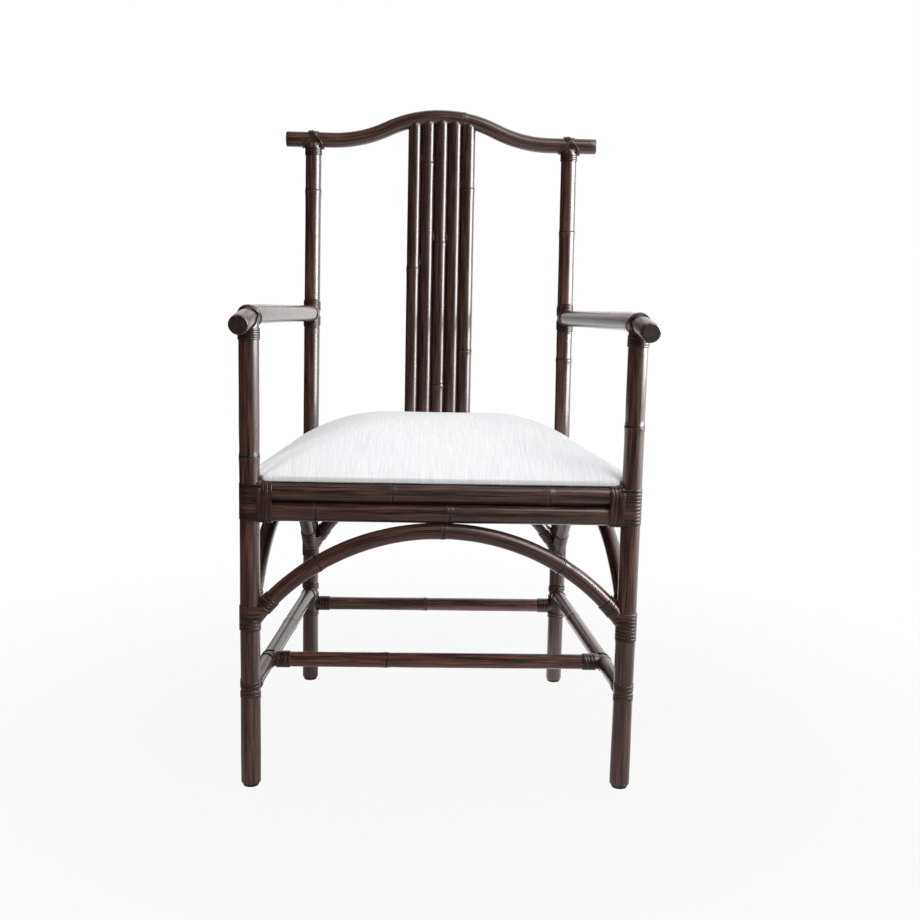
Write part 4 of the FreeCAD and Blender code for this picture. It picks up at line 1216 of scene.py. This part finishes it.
def seat_form():
    """Closed crowned form, a little smaller than the finished seat."""
    drawn = [clear_of_legs(point) for point in seat_outline(SEAT_DRAW)]
    outer = [clear_of_legs(point) for point in seat_outline(0.0)]
    crown = seat_outline(SEAT_CROWN_RUN)
    top = seat_high.z - SEAT_SWELL
    edge = seat_low.z + SEAT_EDGE_HEIGHT
    levels = [(drawn, seat_low.z)]
    for step in range(CROWN_STEPS + 1):
        share = step / CROWN_STEPS
        plan = [start.lerp(end, share) for start, end in zip(outer, crown)]
        levels.append((plan, edge + (top - edge) * (1 - (1 - share) ** SEAT_CROWN_POWER)))
    form = bmesh.new()
    rings = []
    for plan, height in levels:
        rings.append([form.verts.new((point.x, point.y, height)) for point in plan])
    for lower, upper in zip(rings, rings[1:]):
        for index in range(len(lower)):
            following = (index + 1) % len(lower)
            form.faces.new((lower[index], lower[following], upper[following], upper[index]))
    form.faces.new(rings[0][::-1])
    form.faces.new(rings[-1])
    bmesh.ops.triangulate(form, faces=[face for face in form.faces if len(face.verts) > 4])
    bmesh.ops.recalc_face_normals(form, faces=form.faces)
    mesh = bpy.data.meshes.new("seat_form")
    form.to_mesh(mesh)
    form.free()
    return mesh


def with_modifier(name, mesh, kind, **settings):
    """Mesh that one modifier makes of another."""
    carrier = add_object(name, mesh)
    modifier = carrier.modifiers.new(name, kind)
    for key, value in settings.items():
        setattr(modifier, key, value)
    return taken_from(carrier)


def swollen(mesh):
    """The form blown up as cloth round its filling, held along its bottom edge."""
    carrier = add_object("seat_swelling", mesh)
    held = carrier.vertex_groups.new(name="held")
    bottom = [vertex.index for vertex in mesh.vertices if vertex.co.z < seat_low.z + SEAT_HELD]
    held.add(bottom, 1.0, "REPLACE")
    modifier = carrier.modifiers.new("swell", "CLOTH")
    for key, value in SEAT_CLOTH.items():
        setattr(modifier.settings, key, value)
    modifier.settings.vertex_group_mass = held.name
    modifier.settings.effector_weights.gravity = 0
    modifier.point_cache.frame_start = 1
    modifier.point_cache.frame_end = SEAT_FRAMES
    for number in range(1, SEAT_FRAMES + 1):
        scene.frame_set(number)
    starts = [vertex.co.copy() for vertex in mesh.vertices]
    result = taken_from(carrier)
    for vertex, start in zip(result.vertices, starts):
        move = vertex.co - start
        if move.length > SEAT_MOVE_CAP:
            vertex.co = start + move.normalized() * SEAT_MOVE_CAP
    scene.frame_set(1)
    return result


def settle_edge(mesh):
    """Bring the low edge of the seat back to its outline, where the board lies close inside it."""
    outline = [clear_of_legs(point) for point in seat_outline(SEAT_DRAW)]
    dense = [
        here.lerp(following, step / EDGE_SAMPLES)
        for here, following in zip(outline, outline[1:] + outline[:1])
        for step in range(EDGE_SAMPLES)
    ]
    finder = KDTree(len(dense))
    for index, point in enumerate(dense):
        finder.insert((point.x, point.y, 0), index)
    finder.balance()
    for vertex in mesh.vertices:
        height = vertex.co.z - seat_low.z
        if SEAT_FLAT < height < SEAT_EDGE_HEIGHT:
            nearest = finder.find((vertex.co.x, vertex.co.y, 0))[0]
            plan = Vector((nearest.x, nearest.y, vertex.co.z))
            vertex.co = plan.lerp(vertex.co, height / SEAT_EDGE_HEIGHT * EDGE_EASE)


def pleated(mesh):
    """Fold the cloth a little where it is drawn round the front legs."""
    for vertex in mesh.vertices:
        if vertex.co.z < seat_low.z + SEAT_FLAT:
            continue
        for side, sign in SIDES.items():
            leg = legs[side, "front"]
            inward = Vector((-sign * math.cos(PLEAT_ANGLE), math.sin(PLEAT_ANGLE)))
            reach = vertex.co.xy - leg.xy
            along = (reach.dot(inward) - PLEAT_START) / PLEAT_LENGTH
            if not 0 <= along < 1:
                continue
            across = reach.dot(Vector((inward.y, -inward.x))) * sign
            fade = (1 - along) ** 2
            for place, height in PLEATS:
                rise = height * math.exp(-(((across - place) / PLEAT_WIDTH) ** 2))
                vertex.co += vertex.normal * rise * fade


def lipped(mesh):
    """Let the cloth down behind the board to the rear rail, between the side rails."""
    for vertex in mesh.vertices:
        depth = (vertex.co.y - seat_high.y) / REAR_LIP_DEPTH + 1
        width = (REAR_LIP_HALF - abs(vertex.co.x)) / REAR_LIP_FADE
        height = 1 - (vertex.co.z - seat_low.z) / SEAT_EDGE_HEIGHT
        share = math.prod(min(max(part, 0), 1) for part in (depth, width, height))
        vertex.co.z -= REAR_LIP_DROP * share


def make_cushion():
    """Padded seat in white cloth, tight over its crown."""
    mesh = with_modifier("remesh", seat_form(), "REMESH", mode="VOXEL", voxel_size=SEAT_REMESH)
    mesh = swollen(mesh)
    mesh = with_modifier("round", mesh, "SUBSURF", levels=1, render_levels=1)
    settle_edge(mesh)
    pleated(mesh)
    for vertex in mesh.vertices:
        plan = clear_of_legs(vertex.co.xy)
        vertex.co = Vector((plan.x, plan.y, max(vertex.co.z, seat_low.z)))
    lipped(mesh)
    mesh.materials.clear()
    mesh.materials.append(white_cloth)
    mesh.shade_smooth()
    cushion = add_object("seat_cushion", mesh)
    stand_for(cushion, "seat_cloth", "seat_cover", "seat_foam")


make_cushion()


# Floor, light and camera
BRIGHT_SIDE = (0.66, 0.70, 0.26)
LIGHT_SIDE = (0.60, -0.20, 0.77)
FLOOR_REACH = 30.0
FLOOR_PAINT = (0.28, 0.27, 0.26, 1.0)

# Fades: where each starts and ends, and its values there
FLOOR_HAZE = (0.5, 2.2, 0.45, 0.04)
HAZE_ACROSS = (-0.8, 0.6, 0.5, 1.1)
FLOOR_SHEEN = (0.20, 0.75, 0.0, 1.2)
FLOOR_GLOW = (0.3, 1.3, 0.92, 1.0)
WALL_SHEEN = (0.30, 0.75, 0.02, 1.2)
ROOM_LIGHT = (-1.0, 1.0, 0.10, 1.0)


def vector_maths(tree, operation, output, *vectors):
    """Output of a Vector Math node."""
    inputs = dict(enumerate(vectors))
    return add(tree, "ShaderNodeVectorMath", inputs, operation=operation).outputs[output]


def seen_directly(tree, ray):
    """Whether a ray comes from the camera, also through something clear."""
    return maths(tree, "MAXIMUM", ray["Is Camera Ray"], ray["Is Transmission Ray"])


def emptied_tree(owner):
    """Node tree of a material or world, without its nodes."""
    owner.use_nodes = True
    owner.node_tree.nodes.clear()
    return owner.node_tree


def make_floor():
    """Floor that shows white, with a faint shadow near the chair and a lit patch on the window's side."""
    mesh = bpy.data.meshes.new("floor")
    signs = ((-1, -1), (1, -1), (1, 1), (-1, 1))
    mesh.from_pydata([(x * FLOOR_REACH, y * FLOOR_REACH, 0) for x, y in signs], [], [(0, 1, 2, 3)])
    material = bpy.data.materials.new("white_floor")
    tree = emptied_tree(material)
    ray = add(tree, "ShaderNodeLightPath").outputs
    place = add(tree, "ShaderNodeTexCoord").outputs["Object"]
    outward = vector_maths(tree, "NORMALIZE", "Vector", place)
    to_window = vector_maths(tree, "DOT_PRODUCT", "Value", outward, BRIGHT_SIDE)
    distance = vector_maths(tree, "LENGTH", "Value", place)
    rightward = add(tree, "ShaderNodeSeparateXYZ", {"Vector": place}).outputs["X"]
    haze = smooth_range(tree, distance, *FLOOR_HAZE)
    haze = product(tree, haze, smooth_range(tree, rightward, *HAZE_ACROSS))
    patch = maths(tree, "MAXIMUM", haze, smooth_range(tree, to_window, *FLOOR_SHEEN))
    glow = smooth_range(tree, distance, *FLOOR_GLOW)
    paint = add(tree, "ShaderNodeBsdfDiffuse", {"Color": FLOOR_PAINT})
    strength = span(tree, ray["Is Glossy Ray"], 1.0, patch)
    white = add(tree, "ShaderNodeEmission", {"Color": (*WHITE, 1), "Strength": strength})
    share = maths(tree, "MAXIMUM", product(tree, glow, seen_directly(tree, ray)), ray["Is Glossy Ray"])
    mix = add(tree, "ShaderNodeMixShader", {0: share, 1: paint.outputs[0], 2: white.outputs[0]})
    add(tree, "ShaderNodeOutputMaterial", {"Surface": mix.outputs[0]})
    mesh.materials.append(material)
    add_object("floor", mesh)


def make_world():
    """White to the camera; otherwise a soft room, brighter on the window's side and behind."""
    world = bpy.data.worlds.new("soft_room")
    scene.world = world
    tree = emptied_tree(world)
    ray = add(tree, "ShaderNodeLightPath").outputs
    direction = add(tree, "ShaderNodeTexCoord").outputs["Generated"]
    to_window = vector_maths(tree, "DOT_PRODUCT", "Value", direction, BRIGHT_SIDE)
    to_light = vector_maths(tree, "DOT_PRODUCT", "Value", direction, LIGHT_SIDE)
    wall = smooth_range(tree, to_window, *WALL_SHEEN)
    soft = smooth_range(tree, to_light, *ROOM_LIGHT)
    room = span(tree, ray["Is Glossy Ray"], soft, wall)
    strength = maths(tree, "MAXIMUM", seen_directly(tree, ray), room)
    background = add(tree, "ShaderNodeBackground", {"Color": (*WHITE, 1), "Strength": strength})
    add(tree, "ShaderNodeOutputWorld", {"Surface": background.outputs[0]})


def add_lamp(name, place, target, size, power, gloss_only=False):
    """Soft rectangular lamp aimed at a point; it may light the gloss alone."""
    data = bpy.data.lights.new(name, "AREA")
    data.shape = "RECTANGLE"
    data.size, data.size_y = size
    data.energy = power
    lamp = bpy.data.objects.new(name, data)
    lamp.visible_diffuse = not gloss_only
    aim = (Vector(target) - Vector(place)).to_track_quat("-Z", "Y")
    lamp.matrix_world = Matrix.Translation(place) @ aim.to_matrix().to_4x4()
    scene.collection.objects.link(lamp)


CAMERA_PLACE = Vector((-0.03678, -1.80091, 0.70390))
CAMERA_YAW = 0.03801
CAMERA_PITCH = 0.15363
CAMERA_ROLL = 0.02166
FOCAL_LENGTH_IN_PIXELS = 1202.136
PICTURE_SIDE = 920
SENSOR_WIDTH = 36.0


def make_camera():
    """Camera at the photograph's view."""
    data = bpy.data.cameras.new("camera")
    data.sensor_width = SENSOR_WIDTH
    data.lens = FOCAL_LENGTH_IN_PIXELS / PICTURE_SIDE * SENSOR_WIDTH
    level = Vector((math.sin(CAMERA_YAW), math.cos(CAMERA_YAW), 0))
    forward = level * math.cos(CAMERA_PITCH) - UP * math.sin(CAMERA_PITCH)
    right = Vector((math.cos(CAMERA_YAW), -math.sin(CAMERA_YAW), 0))
    upward = right.cross(forward)
    turned_right = right * math.cos(CAMERA_ROLL) + upward * math.sin(CAMERA_ROLL)
    turned_up = upward * math.cos(CAMERA_ROLL) - right * math.sin(CAMERA_ROLL)
    turn = Matrix((turned_right, turned_up, -forward)).transposed().to_4x4()
    camera = bpy.data.objects.new("camera", data)
    camera.matrix_world = Matrix.Translation(CAMERA_PLACE) @ turn
    scene.collection.objects.link(camera)
    scene.camera = camera


make_floor()
make_world()
add_lamp(
    "window",
    place=(2.1, -0.45, 1.20),
    target=(0.0, -0.45, 1.20),
    size=(1.8, 1.5),
    power=158,
    gloss_only=True,
)
add_lamp("key", place=(1.3, -1.1, 2.6), target=(0.0, 0.0, 0.45), size=(1.6, 1.6), power=36)
make_camera()
scene.view_settings.view_transform = "Standard"
